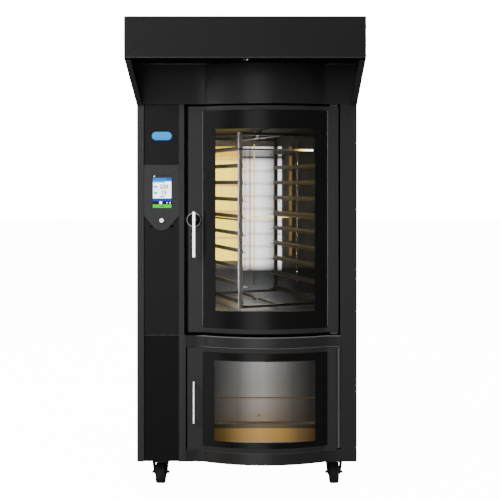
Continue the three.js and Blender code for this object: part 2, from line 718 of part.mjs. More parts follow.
// The front-bottom edge of the cheeks falls from the fascia to the front plane
function cheekEdge(y) {
  const fall = LEVEL.fasciaBottom - LEVEL.cheekBottom;
  return LEVEL.fasciaBottom - (fall * (y + HOOD_REACH)) / HOOD_REACH;
}

// The four walls, with the gutter and its drain spout under the fascia
function hoodShell() {
  const { back, lip, spout } = HOOD;
  const wall = THIN_SHEET;
  const front = -HOOD_REACH;
  const wide = HALF_WIDTH - wall;
  const top = LEVEL.hoodTop - wall - GAP;
  const walls = block([-HALF_WIDTH, HALF_WIDTH], [front, back], [LEVEL.hoodFloor + GAP, top]).subtract(
    block([-wide, wide], [front + wall, back - wall], [0, top + 1]));
  const fascia = block([-HALF_WIDTH, HALF_WIDTH], [front, front + wall], [LEVEL.fasciaBottom, top]);
  const inner = wide - GAP;
  const gutter = block([-inner, inner], [front, front + lip],
    [LEVEL.fasciaBottom, LEVEL.fasciaBottom + wall]);
  const upstand = block([-inner, inner], [front + lip - wall, front + lip],
    [LEVEL.fasciaBottom, LEVEL.fasciaBottom + 12]);
  const drain = bar('z', [spout.x, front + lip / 2, spout.bottom],
    LEVEL.fasciaBottom + 1 - spout.bottom, spout.radius, 12);
  return joined([walls, fascia, gutter, upstand, drain]);
}

function hoodTop() {
  const { back, outlet } = HOOD;
  const under = LEVEL.hoodTop - THIN_SHEET;
  const plate = block([-HALF_WIDTH, HALF_WIDTH], [-HOOD_REACH, back], [under, LEVEL.hoodTop]);
  const collar = bar('z', [0, outlet.y, under], THIN_SHEET + outlet.height, outlet.radius, 32);
  const bore = bar('z', [0, outlet.y, under - 1], outlet.height + 10, outlet.radius - THIN_SHEET, 32);
  return plate.add(collar).subtract(bore);
}

// A side plate with a flange along its sloping edge. side is -1 or 1
function hoodCheek(side) {
  const wall = THIN_SHEET;
  const start = wall - HOOD_REACH + GAP;
  const flangeStart = HOOD.lip - HOOD_REACH + 1;
  const outer = side * HALF_WIDTH;
  const inner = side * (HALF_WIDTH - wall);
  const flangeEdge = side * (HALF_WIDTH - HOOD.flange);
  const span = (a, b) => [Math.min(a, b), Math.max(a, b)];
  const plate = drawnAcross([
    [start, cheekEdge(start)], [-GAP, cheekEdge(-GAP)], [-GAP, LEVEL.hoodFloor], [start, LEVEL.hoodFloor],
  ], ...span(outer, inner));
  const flange = drawnAcross([
    [flangeStart, cheekEdge(flangeStart)], [-GAP, cheekEdge(-GAP)],
    [-GAP, cheekEdge(-GAP) + wall], [flangeStart, cheekEdge(flangeStart) + wall],
  ], ...span(inner + side, flangeEdge));
  return plate.add(flange);
}

// A sheet with long slots over the capture space
function hoodFilter() {
  const wide = HALF_WIDTH - THIN_SHEET - GAP;
  const sheet = block([-wide, wide], [THIN_SHEET + GAP - HOOD_REACH, -4],
    [LEVEL.hoodFloor + GAP, HOOD.filterTop]);
  const slots = [];
  for (let slot = -7; slot <= 7; slot += 1) {
    slots.push(block([slot * 66 - 20, slot * 66 + 20], [-350, -40],
      [LEVEL.hoodFloor - 1, HOOD.filterTop + 1]));
  }
  return cutBy(sheet, slots);
}

// A round duct under the outlet, with the motor held on three arms in its mouth
function hoodFanHousing() {
  const { y, radius } = HOOD.outlet;
  const top = LEVEL.hoodTop - THIN_SHEET - GAP;
  const bottom = LEVEL.hoodFloor + 22;
  const outer = radius - THIN_SHEET - GAP;
  const duct = bar('z', [0, y, bottom], top - bottom, outer, 32).subtract(
    bar('z', [0, y, bottom - 1], top - bottom + 2, outer - SHEET, 32));
  const motor = bar('z', [0, y, bottom], 44, 34, 24);
  const arms = [0, 1, 2].map((arm) => (
    block([30, outer - 1], [-3, 3], [bottom, bottom + 12]).rotate([0, 0, arm * 120]).translate([0, y, 0])));
  return joined([duct, motor, ...arms]).subtract(bar('z', [0, y, bottom + 20], 40, 7, 16));
}

function hoodImpeller() {
  const radius = HOOD.outlet.radius - 14;
  return fanWheel(radius, 60, 24, 8).add(bar('z', [0, 0, -14], 16, 6, 16));
}

place('hood_shell', hoodShell(), FINISH.blackSheet);
place('hood_top', hoodTop(), FINISH.blackSheet);
place('hood_cheek_left', hoodCheek(-1), FINISH.blackSheet);
place('hood_cheek_right', hoodCheek(1), FINISH.blackSheet);
place('hood_filter', hoodFilter(), FINISH.stainless);
place('hood_fan_housing', hoodFanHousing(), FINISH.zinc);
place('hood_impeller', hoodImpeller(), FINISH.stainless).position.set(
  0, HOOD.outlet.y, LEVEL.hoodFloor + 22 + 44 + 4);

// Casters

function casterPlaces() {
  const { x, front, rear } = CASTER;
  return [
    { name: 'front_left', x: -x, y: front }, { name: 'front_right', x, y: front },
    { name: 'rear_left', x: -x, y: rear }, { name: 'rear_right', x, y: rear },
  ];
}

// A swivel head over two cheeks that hold the wheel's axle, behind the swivel line
function casterFork() {
  const { trail, width, axle, fork, radius } = CASTER;
  const top = LEVEL.bodyBottom - GAP;
  const cheekTop = axle + radius + 8;
  const outer = fork / 2;
  const inner = width / 2 + 3;
  const cheek = (from, to) => drawnAcross([
    [trail - 12, axle - 10], [trail + 12, axle - 10], [trail + 16, axle + 20],
    [32, cheekTop + 4], [-32, cheekTop + 4], [trail - 16, axle + 20],
  ], from, to);
  return joined([
    bar('z', [0, 0, cheekTop + 8], top - cheekTop - 8, 30, 24),
    block([-outer, outer], [-32, 32], [cheekTop, cheekTop + 9]),
    cheek(-outer, -inner), cheek(inner, outer),
    bar('x', [-outer - 6, trail, axle], 2 * outer + 12, 7, 12),
  ]);
}

// The wheel stands on one of its flats
function casterWheel() {
  const { radius, width } = CASTER;
  const sides = 28;
  const corner = radius / Math.cos(Math.PI / sides);
  const wheel = new THREE.CylinderGeometry(corner, corner, width, sides);
  wheel.rotateZ(Math.PI / 2);
  wheel.rotateX(Math.PI / sides);
  return solid(wheel).subtract(bar('x', [-width, 0, 0], 2 * width, 7.6, 16));
}

for (const { name, x, y } of casterPlaces()) {
  place(`caster_fork_${name}`, casterFork(), FINISH.zinc).position.set(x, y, 0);
  place(`caster_wheel_${name}`, casterWheel(), FINISH.rubber).position.set(x, y + CASTER.trail, CASTER.axle);
}

const oven = new THREE.Group();
oven.add(frontPlane);

export default oven;
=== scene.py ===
import math

import bmesh
import bpy
from mathutils import Matrix, Vector


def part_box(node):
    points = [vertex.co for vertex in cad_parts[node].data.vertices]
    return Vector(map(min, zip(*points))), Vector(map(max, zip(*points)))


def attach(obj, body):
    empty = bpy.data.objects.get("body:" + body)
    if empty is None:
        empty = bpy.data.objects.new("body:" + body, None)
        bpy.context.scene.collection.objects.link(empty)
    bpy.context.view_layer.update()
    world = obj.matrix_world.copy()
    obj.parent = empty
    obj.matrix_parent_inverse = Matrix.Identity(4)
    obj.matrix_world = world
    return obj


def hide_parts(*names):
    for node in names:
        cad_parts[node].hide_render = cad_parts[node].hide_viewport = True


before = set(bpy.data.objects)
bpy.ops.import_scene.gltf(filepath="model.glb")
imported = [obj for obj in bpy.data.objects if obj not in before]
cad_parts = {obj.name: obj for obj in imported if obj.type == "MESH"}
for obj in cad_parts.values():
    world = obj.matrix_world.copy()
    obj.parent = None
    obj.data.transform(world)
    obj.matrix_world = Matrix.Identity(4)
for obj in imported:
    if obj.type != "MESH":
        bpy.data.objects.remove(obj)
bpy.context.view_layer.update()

# The view: a level camera in front of the oven, with its lens shifted down so that the uprights
# stay upright. The depths below are counted from the front plane of the columns, FRONT.

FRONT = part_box("control_column")[0].y
PICTURE = 500
FOCAL_PIXELS = 890.5
OPTICAL_AXIS = (264.5, 182.9)
CAMERA_PLACE = (0.084, FRONT - 4.25, 1.473)

camera = bpy.data.objects.new("camera", bpy.data.cameras.new("camera"))
bpy.context.scene.collection.objects.link(camera)
camera.location = CAMERA_PLACE
camera.rotation_euler = (math.pi / 2, 0, 0)
camera.data.lens = camera.data.sensor_width * FOCAL_PIXELS / PICTURE
camera.data.shift_x = 0.5 - OPTICAL_AXIS[0] / PICTURE
camera.data.shift_y = OPTICAL_AXIS[1] / PICTURE - 0.5
bpy.context.scene.camera = camera

# The studio: a pale floor, a white surround that the camera sees, and soft lamps. The surround
# that lights the sheet is dimmer, as the room behind a camera is.

FLOOR_HALF = 30


def collected(name, mesh):
    piece = bpy.data.objects.new(name, mesh)
    bpy.context.scene.collection.objects.link(piece)
    return piece


def from_bmesh(name, shape):
    """A new object at the origin that holds this shape, shaded smooth."""
    for face in shape.faces:
        face.smooth = True
    mesh = bpy.data.meshes.new(name)
    shape.to_mesh(mesh)
    shape.free()
    return collected(name, mesh)


class Wire:
    """A socket of a material, so that maths on it is written as an expression."""

    def __init__(self, finish, socket):
        self.finish = finish
        self.socket = socket

    def maths(self, operation, *values):
        return self.finish.node("ShaderNodeMath", {"operation": operation}, dict(enumerate(values)))

    def __add__(self, other):
        return self.maths("ADD", self, other)

    def __sub__(self, other):
        return self.maths("SUBTRACT", self, other)

    def __rsub__(self, other):
        return self.maths("SUBTRACT", other, self)

    def __mul__(self, other):
        return self.maths("MULTIPLY", self, other)

    def over(self, edge, softness):
        """1 above the edge and 0 below it, with a soft step between."""
        return self.finish.node("ShaderNodeMapRange", {"interpolation_type": "SMOOTHSTEP"}, {
            "Value": self, "From Min": edge - softness, "From Max": edge + softness})

    def between(self, low, high, softness):
        """1 from the low value to the high one, and 0 outside them."""
        return self.over(low, softness) * (1 - self.over(high, softness))

    def share(self, low, high):
        """How far the value has come from the low one to the high one, as 0 to 1."""
        return (self - low) * (1 / (high - low))


class Finish:
    """A material in the making: node() adds a node and set() fills sockets of its shader."""

    def __init__(self, name, **uniform):
        self.material = bpy.data.materials.new(name)
        self.material.use_nodes = True
        self.tree = self.material.node_tree
        self.shader = self.tree.nodes["Principled BSDF"]
        self.set(**uniform)

    def node(self, kind, settings, sockets, outlet=0):
        made = self.tree.nodes.new(kind)
        for key, value in settings.items():
            if key == "stops":
                elements = made.color_ramp.elements
                while len(elements) < len(value):
                    elements.new(1)
                for stop, (place, colour) in zip(elements, value):
                    stop.position = place
                    stop.color = colour
            else:
                setattr(made, key, value)
        self.fill(made, sockets)
        return Wire(self, made.outputs[outlet])

    def fill(self, node, sockets):
        for key, value in sockets.items():
            if isinstance(value, Wire):
                self.tree.links.new(value.socket, node.inputs[key])
            else:
                node.inputs[key].default_value = value

    def set(self, **sockets):
        for key, value in sockets.items():
            self.fill(self.shader, {key.replace("_", " ").title().replace("Ior", "IOR"): value})

    def place(self, stretch):
        """The point on the object, with a stretch along x, y and z."""
        point = self.node("ShaderNodeTexCoord", {}, {}, "Object")
        return self.node("ShaderNodeMapping", {}, {"Vector": point, "Scale": stretch})

    def axis(self, letter):
        point = self.node("ShaderNodeTexCoord", {}, {}, "Object")
        return self.node("ShaderNodeSeparateXYZ", {}, {"Vector": point}, letter)

    def from_line(self, x, z):
        """The square of the distance from a line along y."""
        across, up = self.axis("X") - x, self.axis("Z") - z
        return across * across + up * up

    def noise(self, scale, stretch=(1, 1, 1), detail=2.0):
        sockets = {"Vector": self.place(stretch), "Scale": scale, "Detail": detail}
        return self.node("ShaderNodeTexNoise", {}, sockets, "Fac")

    def mix(self, factor, first, second, blend="MIX"):
        """A colour between two colours, or with MULTIPLY the first one tinted by the second."""
        settings = {"data_type": "RGBA", "blend_type": blend}
        return self.node("ShaderNodeMix", settings, {0: factor, 6: first, 7: second}, 2)

    def mottled(self, scale, first, second, stretch=(1, 1, 1), detail=2.0):
        """A base colour that wanders between two colours, along the noise that this returns."""
        cloud = self.noise(scale, stretch, detail)
        self.set(base_color=self.mix(cloud, first, second))
        return cloud

    def present(self, socket):
        """What feeds a socket of the shader so far."""
        return Wire(self, self.shader.inputs[socket].links[0].from_socket)

    def touched(self, mask, colour):
        """Lays a colour over the present one where the mask is 1."""
        self.set(base_color=self.mix(mask, self.present("Base Color"), colour))

    def bump(self, height, distance, strength=1.0):
        sockets = {"Height": height, "Distance": distance, "Strength": strength}
        self.set(normal=self.node("ShaderNodeBump", {}, sockets))


def grey(level, warmth=0.0):
    return (level * (1 + warmth), level, level * (1 - warmth), 1)


floor_shape = bmesh.new()
bmesh.ops.create_grid(floor_shape, x_segments=1, y_segments=1, size=FLOOR_HALF)
floor = from_bmesh("studio_floor", floor_shape)
floor_paint = Finish(
    "studio_floor", base_color=grey(0.86), roughness=0.9, emission_color=grey(1.0), emission_strength=14.0)
floor.data.materials.append(floor_paint.material)
floor.visible_diffuse = False
floor.visible_glossy = False
floor.visible_shadow = False

world = bpy.data.worlds.new("studio")
bpy.context.scene.world = world
world.use_nodes = True
sky = world.node_tree
sky_seen = sky.nodes.new("ShaderNodeBackground")
sky_seen.inputs["Color"].default_value = grey(1.0)
sky_seen.inputs["Strength"].default_value = 16
sky_felt = sky.nodes["Background"]
sky_felt.inputs["Color"].default_value = grey(0.09)
sky_choice = sky.nodes.new("ShaderNodeMixShader")
ray = sky.nodes.new("ShaderNodeLightPath")
sky.links.new(ray.outputs["Is Camera Ray"], sky_choice.inputs["Fac"])
sky.links.new(sky_felt.outputs[0], sky_choice.inputs[1])
sky.links.new(sky_seen.outputs[0], sky_choice.inputs[2])
sky.links.new(sky_choice.outputs[0], sky.nodes["World Output"].inputs["Surface"])


def soft_lamp(name, place, target, size, power, mirrored=True):
    """A rectangular lamp. One that isn't mirrored lights the coats but shows in no polished face."""
    lamp = bpy.data.objects.new(name, bpy.data.lights.new(name, "AREA"))
    bpy.context.scene.collection.objects.link(lamp)
    lamp.data.shape = "RECTANGLE"
    lamp.data.size, lamp.data.size_y = size
    lamp.data.energy = power
    lamp.visible_glossy = mirrored
    lamp.location = place
    lamp.rotation_euler = (Vector(target) - Vector(place)).to_track_quat("-Z", "Y").to_euler()


soft_lamp("lamp_above", (0, -1.5, 5.5), (0, 0, 0.5), (5, 4), 190)
soft_lamp("lamp_left", (-2.0, -2.4, 2.5), (-0.4, FRONT, 1.7), (1.0, 1.2), 130, mirrored=False)
soft_lamp("lamp_right", (4.5, -4.0, 2.4), (0, FRONT, 1.2), (2.0, 4.0), 45, mirrored=False)
soft_lamp("lamp_low", (0.2, -4.5, 0.5), (0, FRONT, 1.6), (2.0, 0.8), 35, mirrored=False)
soft_lamp("lamp_front", (-0.8, FRONT - 6.0, 0.2), (-0.8, FRONT, 0.2), (2.0, 5.3), 28)
soft_lamp("lamp_wall", (-4.6, -3.4, 1.0), (0, FRONT, 1.2), (4.0, 5.0), 22)
soft_lamp("lamp_behind", (0, 5.5, 3.0), (0, 0, 1.2), (5, 3), 160)
for name, side in [("lamp_side_left", -1), ("lamp_side_right", 1)]:
    soft_lamp(name, (side * 5.2, 1.8, 2.4), (side * 0.5, 0.3, 1.1), (3, 3), 150)
soft_lamp("lamp_in_oven", (-0.20, FRONT + 0.075, 1.30), (0.0, FRONT + 0.35, 1.30), (0.03, 0.8), 5)
soft_lamp("lamp_in_proofer", (0.06, FRONT + 0.10, 0.665), (0.06, FRONT + 0.48, 0.50), (0.12, 0.08), 2.5,
          mirrored=False)

# The casing: folded steel sheet, powder coated in satin black. The coats below are levels of that one
# black, set to how light falls on each sheet: the side sheets and the column's post are painted paler
# than the recessed panels, and the lower column panel darker, as painted light and shade. Each sheet's
# folds and cut edges are softened, as a press brake and the coating leave them.

SHEET_EDGE = 0.0008


def powder_coat(name, level, roughness=0.42, glint_lines=(), shine=0.45):
    """Fine orange peel and a slow change of gloss, with painted highlights as paler lines at some heights.
    """
    coat = Finish(name, specular_ior_level=shine)
    cloud = coat.mottled(2.2, grey(level * 0.88), grey(level * 1.12), detail=3)
    for bottom, top, tint in glint_lines:
        coat.touched(coat.axis("Z").between(bottom, top, 0.0003), tint)
    coat.set(roughness=cloud * 0.08 + (roughness - 0.04))
    coat.bump(coat.noise(650), 0.00006)
    return coat


def evened(piece):
    """The wide faces keep their own direction, and only the rounded edges between them bend."""
    piece.modifiers.new("even_normals", "WEIGHTED_NORMAL").keep_sharp = True
    return piece


def from_node(node, edge, segments=2):
    """The node's solid with its edges rounded, as a piece in the same place."""
    shape = bmesh.new()
    shape.from_mesh(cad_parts[node].data)
    bmesh.ops.remove_doubles(shape, verts=shape.verts, dist=0.00002)
    bmesh.ops.dissolve_limit(shape, angle_limit=math.radians(0.5), verts=shape.verts, edges=shape.edges)
    piece = from_bmesh(node + "_finished", shape)
    bevel = piece.modifiers.new("rounded_edges", "BEVEL")
    bevel.width = edge
    bevel.segments = segments
    bevel.angle_limit = math.radians(25)
    bevel.use_clamp_overlap = True
    return evened(piece)


def finished(piece, finish, body, slot, *nodes):
    """Gives a piece its finish and its body, and hides the nodes that it stands for. The slot is not used.
    """
    piece.data.materials.clear()
    piece.data.materials.append(finish.material)
    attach(piece, body)
    if nodes:
        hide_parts(*nodes)


def dressed(node, edge, finish, body, slot, segments=2):
    """A node whose piece is its own solid with rounded edges."""
    finished(from_node(node, edge, segments), finish, body, slot, node)


def slab(low, high, edge, name):
    """A box with rounded edges, as a piece."""
    shape = bmesh.new()
    bmesh.ops.create_cube(shape, size=1)
    for vertex in shape.verts:
        vertex.co = Vector([
            (a + b) / 2 + (b - a) * part for a, b, part in zip(low, high, vertex.co)])
    bmesh.ops.bevel(shape, geom=list(shape.edges), offset=edge, segments=3, profile=0.5, affect="EDGES")
    return evened(from_bmesh(name, shape))


# Painted light and shade: one black coat, at a level for the light on each sheet.
black_coat = powder_coat("black_coat", 0.009, shine=0.3)
strip_coat = powder_coat("strip_coat", 0.023)
right_coat = powder_coat("right_coat", 0.019)
upper_coat = powder_coat("upper_coat", 0.013, 0.30, shine=0.8)
deep_coat = powder_coat("deep_coat", 0.0055)
# The paler lines along the edges of the lower column panel, the middle front panel and the plinth are
# painted highlights.
lower_coat = powder_coat("lower_coat", 0.0065, shine=0.15, glint_lines=[(0.7446, 0.7475, grey(0.06))])
fascia_coat = powder_coat("fascia_coat", 0.018, 0.30, shine=0.8, glint_lines=[
    (0.6900, 0.6935, grey(0.10)), (0.7412, 0.7455, grey(0.15))])
plinth_coat = powder_coat("plinth_coat", 0.016, 0.30, shine=0.8, glint_lines=[
    (0.1970, 0.1995, (0.06, 0.036, 0.022, 1))])

# The flat left ends of the three curved panels get painted shade, a darker colour than their bulges, and a
# rougher coat.
BULGE_LEFT = -0.225
for coat, dull in [(upper_coat, 0.004), (fascia_coat, 0.006), (plinth_coat, 0.004)]:
    shaded_flat_end = 1 - coat.axis("X").over(BULGE_LEFT, 0.03)
    coat.touched(shaded_flat_end, grey(dull))
    coat.set(roughness=coat.present("Roughness") + shaded_flat_end * 0.13)

# The upper front panel is cut to its curve and not folded, so its edges stay sharper.
for node, finish, slot in [
    ("left_side_panel", strip_coat, "black_sheet"),
    ("right_side_panel", right_coat, "black_sheet"),
    ("control_column", strip_coat, "black_sheet"),
    ("column_panel_upper", black_coat, "black_sheet"),
    ("column_panel_lower", lower_coat, "dark_sheet"),
    ("plinth_panel", plinth_coat, "black_sheet"),
    ("middle_front_panel", fascia_coat, "dark_sheet"),
    ("upper_front_panel", upper_coat, "black_sheet"),
    ("rear_panel", black_coat, "black_sheet"),
]:
    edge = SHEET_EDGE * 0.3 if node == "upper_front_panel" else SHEET_EDGE
    dressed(node, edge, finish, "cabinet", slot)

# Thin dark strips: screens inside the rear louvres, a rail behind the middle front panel and a
# seal that closes the gap between the post and the lower door.
STRIP_EDGE = 0.0003
REAR_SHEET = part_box("rear_panel")[0].y
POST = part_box("control_column")[1]
for name, low, high in [
    ("vent_screen_low", (-0.19, REAR_SHEET - 0.0045, 0.4), (0.19, REAR_SHEET - 0.003, 0.6)),
    ("vent_screen_high", (-0.19, REAR_SHEET - 0.0045, 1.8), (0.19, REAR_SHEET - 0.003, 2.0)),
    ("cross_rail", (-0.285, POST.y + 0.0035, 0.6875), (0.445, POST.y + 0.0055, 0.7465)),
    ("lower_post_seal", (POST.x - 0.03, POST.y + 0.0004, 0.2), (POST.x + 0.005, POST.y + 0.002, 0.686)),
]:
    finished(slab(low, high, STRIP_EDGE, name), deep_coat, "cabinet", "dark_sheet")

# The control column's face: a coated plate in the shape of a shield, with the lit touch display
# behind one glass, a white push button with a dark rim and a green pilot light, and a plain blue
# status lens that is pressed into the panel above them.

PLATE_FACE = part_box("control_plate")[0].y
DISPLAY_LOW, DISPLAY_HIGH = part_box("touch_display")
SCREEN_RIM, LEFT_STRIP, PILOT_STRIP = 0.006, 0.004, 0.011
SCREEN_LEFT, SCREEN_RIGHT = DISPLAY_LOW.x + SCREEN_RIM + LEFT_STRIP, DISPLAY_HIGH.x - SCREEN_RIM
SCREEN_BOTTOM, SCREEN_TOP = DISPLAY_LOW.z + SCREEN_RIM, DISPLAY_HIGH.z - SCREEN_RIM - PILOT_STRIP
SCREEN_WIDE, SCREEN_HIGH = SCREEN_RIGHT - SCREEN_LEFT, SCREEN_TOP - SCREEN_BOTTOM
SCREEN_FACE = PLATE_FACE - 0.0016


def sheet_of_light(name, colour, strength):
    """A lit surface, over a duller body of the same colour."""
    body = [part * 0.25 for part in colour[:3]] + [1]
    return Finish(name, base_color=body, roughness=0.25, emission_color=colour, emission_strength=strength)


plate_coat = powder_coat("plate_coat", 0.027, 0.40)
dressed("control_plate", 0.0007, plate_coat, "cabinet", "stile_sheet")

# Two black tabs close the panel's cut-out behind the plate's lower corners.
TAB_BOTTOM, TAB_TOP = 1.262, 1.304
for name, left, right in [("panel_patch_left", -0.462, -0.436), ("panel_patch_right", -0.378, -0.352)]:
    patch = slab((left, PLATE_FACE + 0.0045, TAB_BOTTOM),
                 (right, PLATE_FACE + 0.0062, TAB_TOP), 0.0002, name)
    finished(patch, black_coat, "cabinet", "black_sheet")

bezel_glass = Finish("bezel_glass", base_color=grey(0.004), roughness=0.06, coat_weight=0.6)
bezel_glass.bump(bezel_glass.noise(40), 0.00002)
dressed("touch_display", 0.0006, bezel_glass, "cabinet", "screen")


def on_screen(left, right, bottom, top, layer, name):
    """A tile of the picture, in fractions of the screen from its lower left corner."""
    face = SCREEN_FACE - 0.0002 * layer
    return slab(
        (SCREEN_LEFT + left * SCREEN_WIDE, face - 0.0001, SCREEN_BOTTOM + bottom * SCREEN_HIGH),
        (SCREEN_LEFT + right * SCREEN_WIDE, face + 0.0004, SCREEN_BOTTOM + top * SCREEN_HIGH),
        0.00004, name)


def frozen(source, name):
    """A new piece with the plain mesh of a curve or of a piece that Geometry Nodes repeat."""
    bpy.context.view_layer.update()
    mesh = bpy.data.meshes.new_from_object(source.evaluated_get(bpy.context.evaluated_depsgraph_get()))
    bpy.data.objects.remove(source)
    return collected(name, mesh)


def digits(text, centre, height, name):
    """Plain numbers on the screen, as raised lit strokes."""
    curve = bpy.data.curves.new(name, "FONT")
    curve.body = text
    curve.size = height
    curve.extrude = 0.0001
    curve.offset = 0.0008
    curve.align_x, curve.align_y = "CENTER", "CENTER"
    piece = frozen(collected(name + "_curve", curve), name)
    place = Vector((SCREEN_LEFT + centre[0] * SCREEN_WIDE, SCREEN_FACE - 0.0009,
                    SCREEN_BOTTOM + centre[1] * SCREEN_HIGH))
    piece.data.transform(Matrix.Translation(place) @ Matrix.Rotation(math.pi / 2, 4, "X"))
    return piece


lit = {name: sheet_of_light("screen_" + name, colour, strength) for name, colour, strength in [
    ("white", (0.92, 0.97, 1.0, 1), 3.0),
    ("sky", (0.0, 0.24, 1.0, 1), 0.75),
    ("cyan", (0.0, 0.50, 1.0, 1), 0.95),
    ("blue", (0.0, 0.05, 0.80, 1), 0.55),
    ("green", (0.02, 0.80, 0.0, 1), 0.95),
    ("black", (0.004, 0.004, 0.005, 1), 0.0),
    ("grey", (0.05, 0.055, 0.07, 1), 0.2),
]}

for name, (left, right, bottom, top), layer, colour in [
    ("page", (0.012, 0.988, 0.32, 0.88), 0, "white"),
    ("header", (0, 1, 0.88, 1), 0, "sky"),
    ("header_tab", (0.02, 0.66, 0.845, 0.90), 1, "cyan"),
    ("header_mark", (0.72, 0.97, 0.945, 0.985), 1, "blue"),
    ("blue_bar", (0, 1, 0.225, 0.32), 0, "blue"),
    ("icon_row", (0, 1, 0.115, 0.225), 0, "black"),
    ("green_bar", (0, 1, 0, 0.115), 0, "green"),
    ("glyph_heat", (0.06, 0.24, 0.665, 0.735), 1, "cyan"),
    ("glyph_time", (0.06, 0.24, 0.465, 0.535), 1, "cyan"),
    ("rule", (0.04, 0.96, 0.595, 0.603), 1, "cyan"),
    ("footer", (0.38, 0.62, 0.36, 0.40), 1, "cyan"),
    ("key_left", (0.06, 0.12, 0.150, 0.190), 1, "grey"),
    ("key_middle", (0.35, 0.49, 0.13, 0.215), 1, "white"),
    ("key_right", (0.74, 0.78, 0.155, 0.190), 1, "white"),
    ("key_far_right", (0.90, 0.95, 0.150, 0.190), 1, "white"),
    ("green_mark", (0.38, 0.62, 0.045, 0.07), 1, "grey"),
]:
    tile = on_screen(left, right, bottom, top, layer, "screen_" + name)
    finished(tile, lit[colour], "cabinet", "screen")

READING_HEIGHT = 0.026
for name, text, centre in [("reading_heat", "220", (0.60, 0.70)), ("reading_time", "15", (0.60, 0.50))]:
    finished(digits(text, centre, READING_HEIGHT, name), lit["black"], "cabinet", "screen")


def turned(name, profile, axis_place, turns=48, axis="Y"):
    """A round piece: its profile of (radius, distance along the axis) is turned about the axis."""
    shape = bmesh.new()
    rings = []
    for step in range(turns):
        angle = 2 * math.pi * step / turns
        ring = []
        for radius, along in profile:
            across = (radius * math.cos(angle), radius * math.sin(angle))
            point = {"Y": (across[0], along, across[1]), "X": (along, *across), "Z": (*across, along)}[axis]
            ring.append(shape.verts.new(Vector(point) + Vector(axis_place)))
        rings.append(ring)
    for this, following in zip(rings, rings[1:] + rings[:1]):
        for index in range(len(profile) - 1):
            shape.faces.new((this[index], this[index + 1], following[index + 1], following[index]))
    bmesh.ops.remove_doubles(shape, verts=shape.verts, dist=1e-7)
    bmesh.ops.recalc_face_normals(shape, faces=shape.faces)
    piece = from_bmesh(name, shape)
    piece.data.set_sharp_from_angle(angle=math.radians(35))
    return piece


BUTTON_LOW, BUTTON_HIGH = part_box("power_button")
BUTTON = (BUTTON_LOW + BUTTON_HIGH) / 2
BUTTON_RADIUS = (BUTTON_HIGH.x - BUTTON_LOW.x) / 2
SKIRT_END = BUTTON_LOW.y + 0.013

button_cap = turned("button_cap", [
    (0, BUTTON_LOW.y - 0.0006), (BUTTON_RADIUS * 0.42, BUTTON_LOW.y - 0.0006),
    (BUTTON_RADIUS * 0.46, BUTTON_LOW.y), (BUTTON_RADIUS * 0.86, BUTTON_LOW.y),
    (BUTTON_RADIUS, BUTTON_LOW.y + 0.0014), (BUTTON_RADIUS, SKIRT_END),
    (BUTTON_RADIUS * 0.6, SKIRT_END), (BUTTON_RADIUS * 0.6, BUTTON_HIGH.y), (0, BUTTON_HIGH.y),
], (BUTTON.x, 0, BUTTON.z))
# The button's white face glows in emission inside its dark rim, a painted glow.
button_white = Finish("button_white", roughness=0.3, emission_strength=1.2)
button_white.mottled(60, grey(0.75), grey(0.85))
rim = button_white.from_line(BUTTON.x, BUTTON.z).over((BUTTON_RADIUS * 0.74) ** 2, 2e-6)
button_white.set(emission_color=button_white.mix(rim, grey(1.0), grey(0.01)))
button_white.touched(rim, grey(0.06))
finished(button_cap, button_white, "button", "bright_steel", "power_button")
pilot_green = sheet_of_light("pilot_green", (0.05, 0.8, 0.2, 1), 1.2)
pilot = turned("button_pilot", [
    (0, BUTTON_LOW.y - 0.0016), (0.0028, BUTTON_LOW.y - 0.0013), (0.0034, BUTTON_LOW.y - 0.0005),
    (0.0034, BUTTON_LOW.y), (0, BUTTON_LOW.y)], (BUTTON.x, 0, BUTTON.z), 24)
finished(pilot, pilot_green, "button", "bright_steel")

white_light = sheet_of_light("white_light", (1, 1, 1, 1), 3.0)
pilot_dot = turned("display_pilot", [
    (0, SCREEN_FACE - 0.0008), (0.0022, SCREEN_FACE - 0.0006), (0.0028, SCREEN_FACE), (0, SCREEN_FACE)],
    (SCREEN_LEFT + 0.007, 0, SCREEN_TOP + 0.0075), 24)
finished(pilot_dot, white_light, "cabinet", "screen")

LENS_LOW, LENS_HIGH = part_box("status_lamp")
blue_lens = Finish("blue_lens", roughness=0.12, coat_weight=0.3, emission_strength=0.85)
up_lens = blue_lens.axis("Z").over((LENS_LOW.z + LENS_HIGH.z) / 2, 0.03)
blue_lens.set(
    base_color=blue_lens.mix(up_lens, (0.0, 0.05, 0.20, 1), (0.0, 0.07, 0.22, 1)),
    emission_color=blue_lens.mix(up_lens, (0.0, 0.36, 1.0, 1), (0.0, 0.46, 1.0, 1)))
dressed("status_lamp", 0.0015, blue_lens, "cabinet", "blue_lens", 3)

# The oven chamber: a surround at its mouth, a stainless liner and the air baffle before the fan.
# The cavity lamp's light on the baffle's foot and on the floor is painted on in emission and fades to
# the right, and the liner's ceiling and floor and the baffle below its foot are painted darker as shade.


def chamber_steel(name, dark, light, roughness, stretch=(1, 1, 1), metal=1.0):
    """Stainless sheet with a heat tint and a drawn grain along the least stretched way."""
    steel = Finish(name, metallic=metal)
    steel.mottled(3.5, dark, light, detail=3)
    grain = steel.noise(60, stretch, 4)
    steel.set(roughness=grain * 0.10 + roughness)
    steel.bump(grain, 0.0001, 0.3)
    return steel


def ramp(finish, place, stops):
    """Colours between stops along a value. A stop that is a number is grey."""
    colours = [(at, colour if isinstance(colour, tuple) else grey(colour)) for at, colour in stops]
    return finish.node("ShaderNodeValToRGB", {"stops": colours}, {"Fac": place})


def tinted(finish, first, second):
    """The product of two colours."""
    return finish.mix(1.0, first, second, "MULTIPLY")


def across_chamber(finish, stops):
    """Painted lamp light, brightest in front of the plate, on stops from left to right."""
    return ramp(finish, (finish.axis("X") + 0.32) * 1.3, stops)


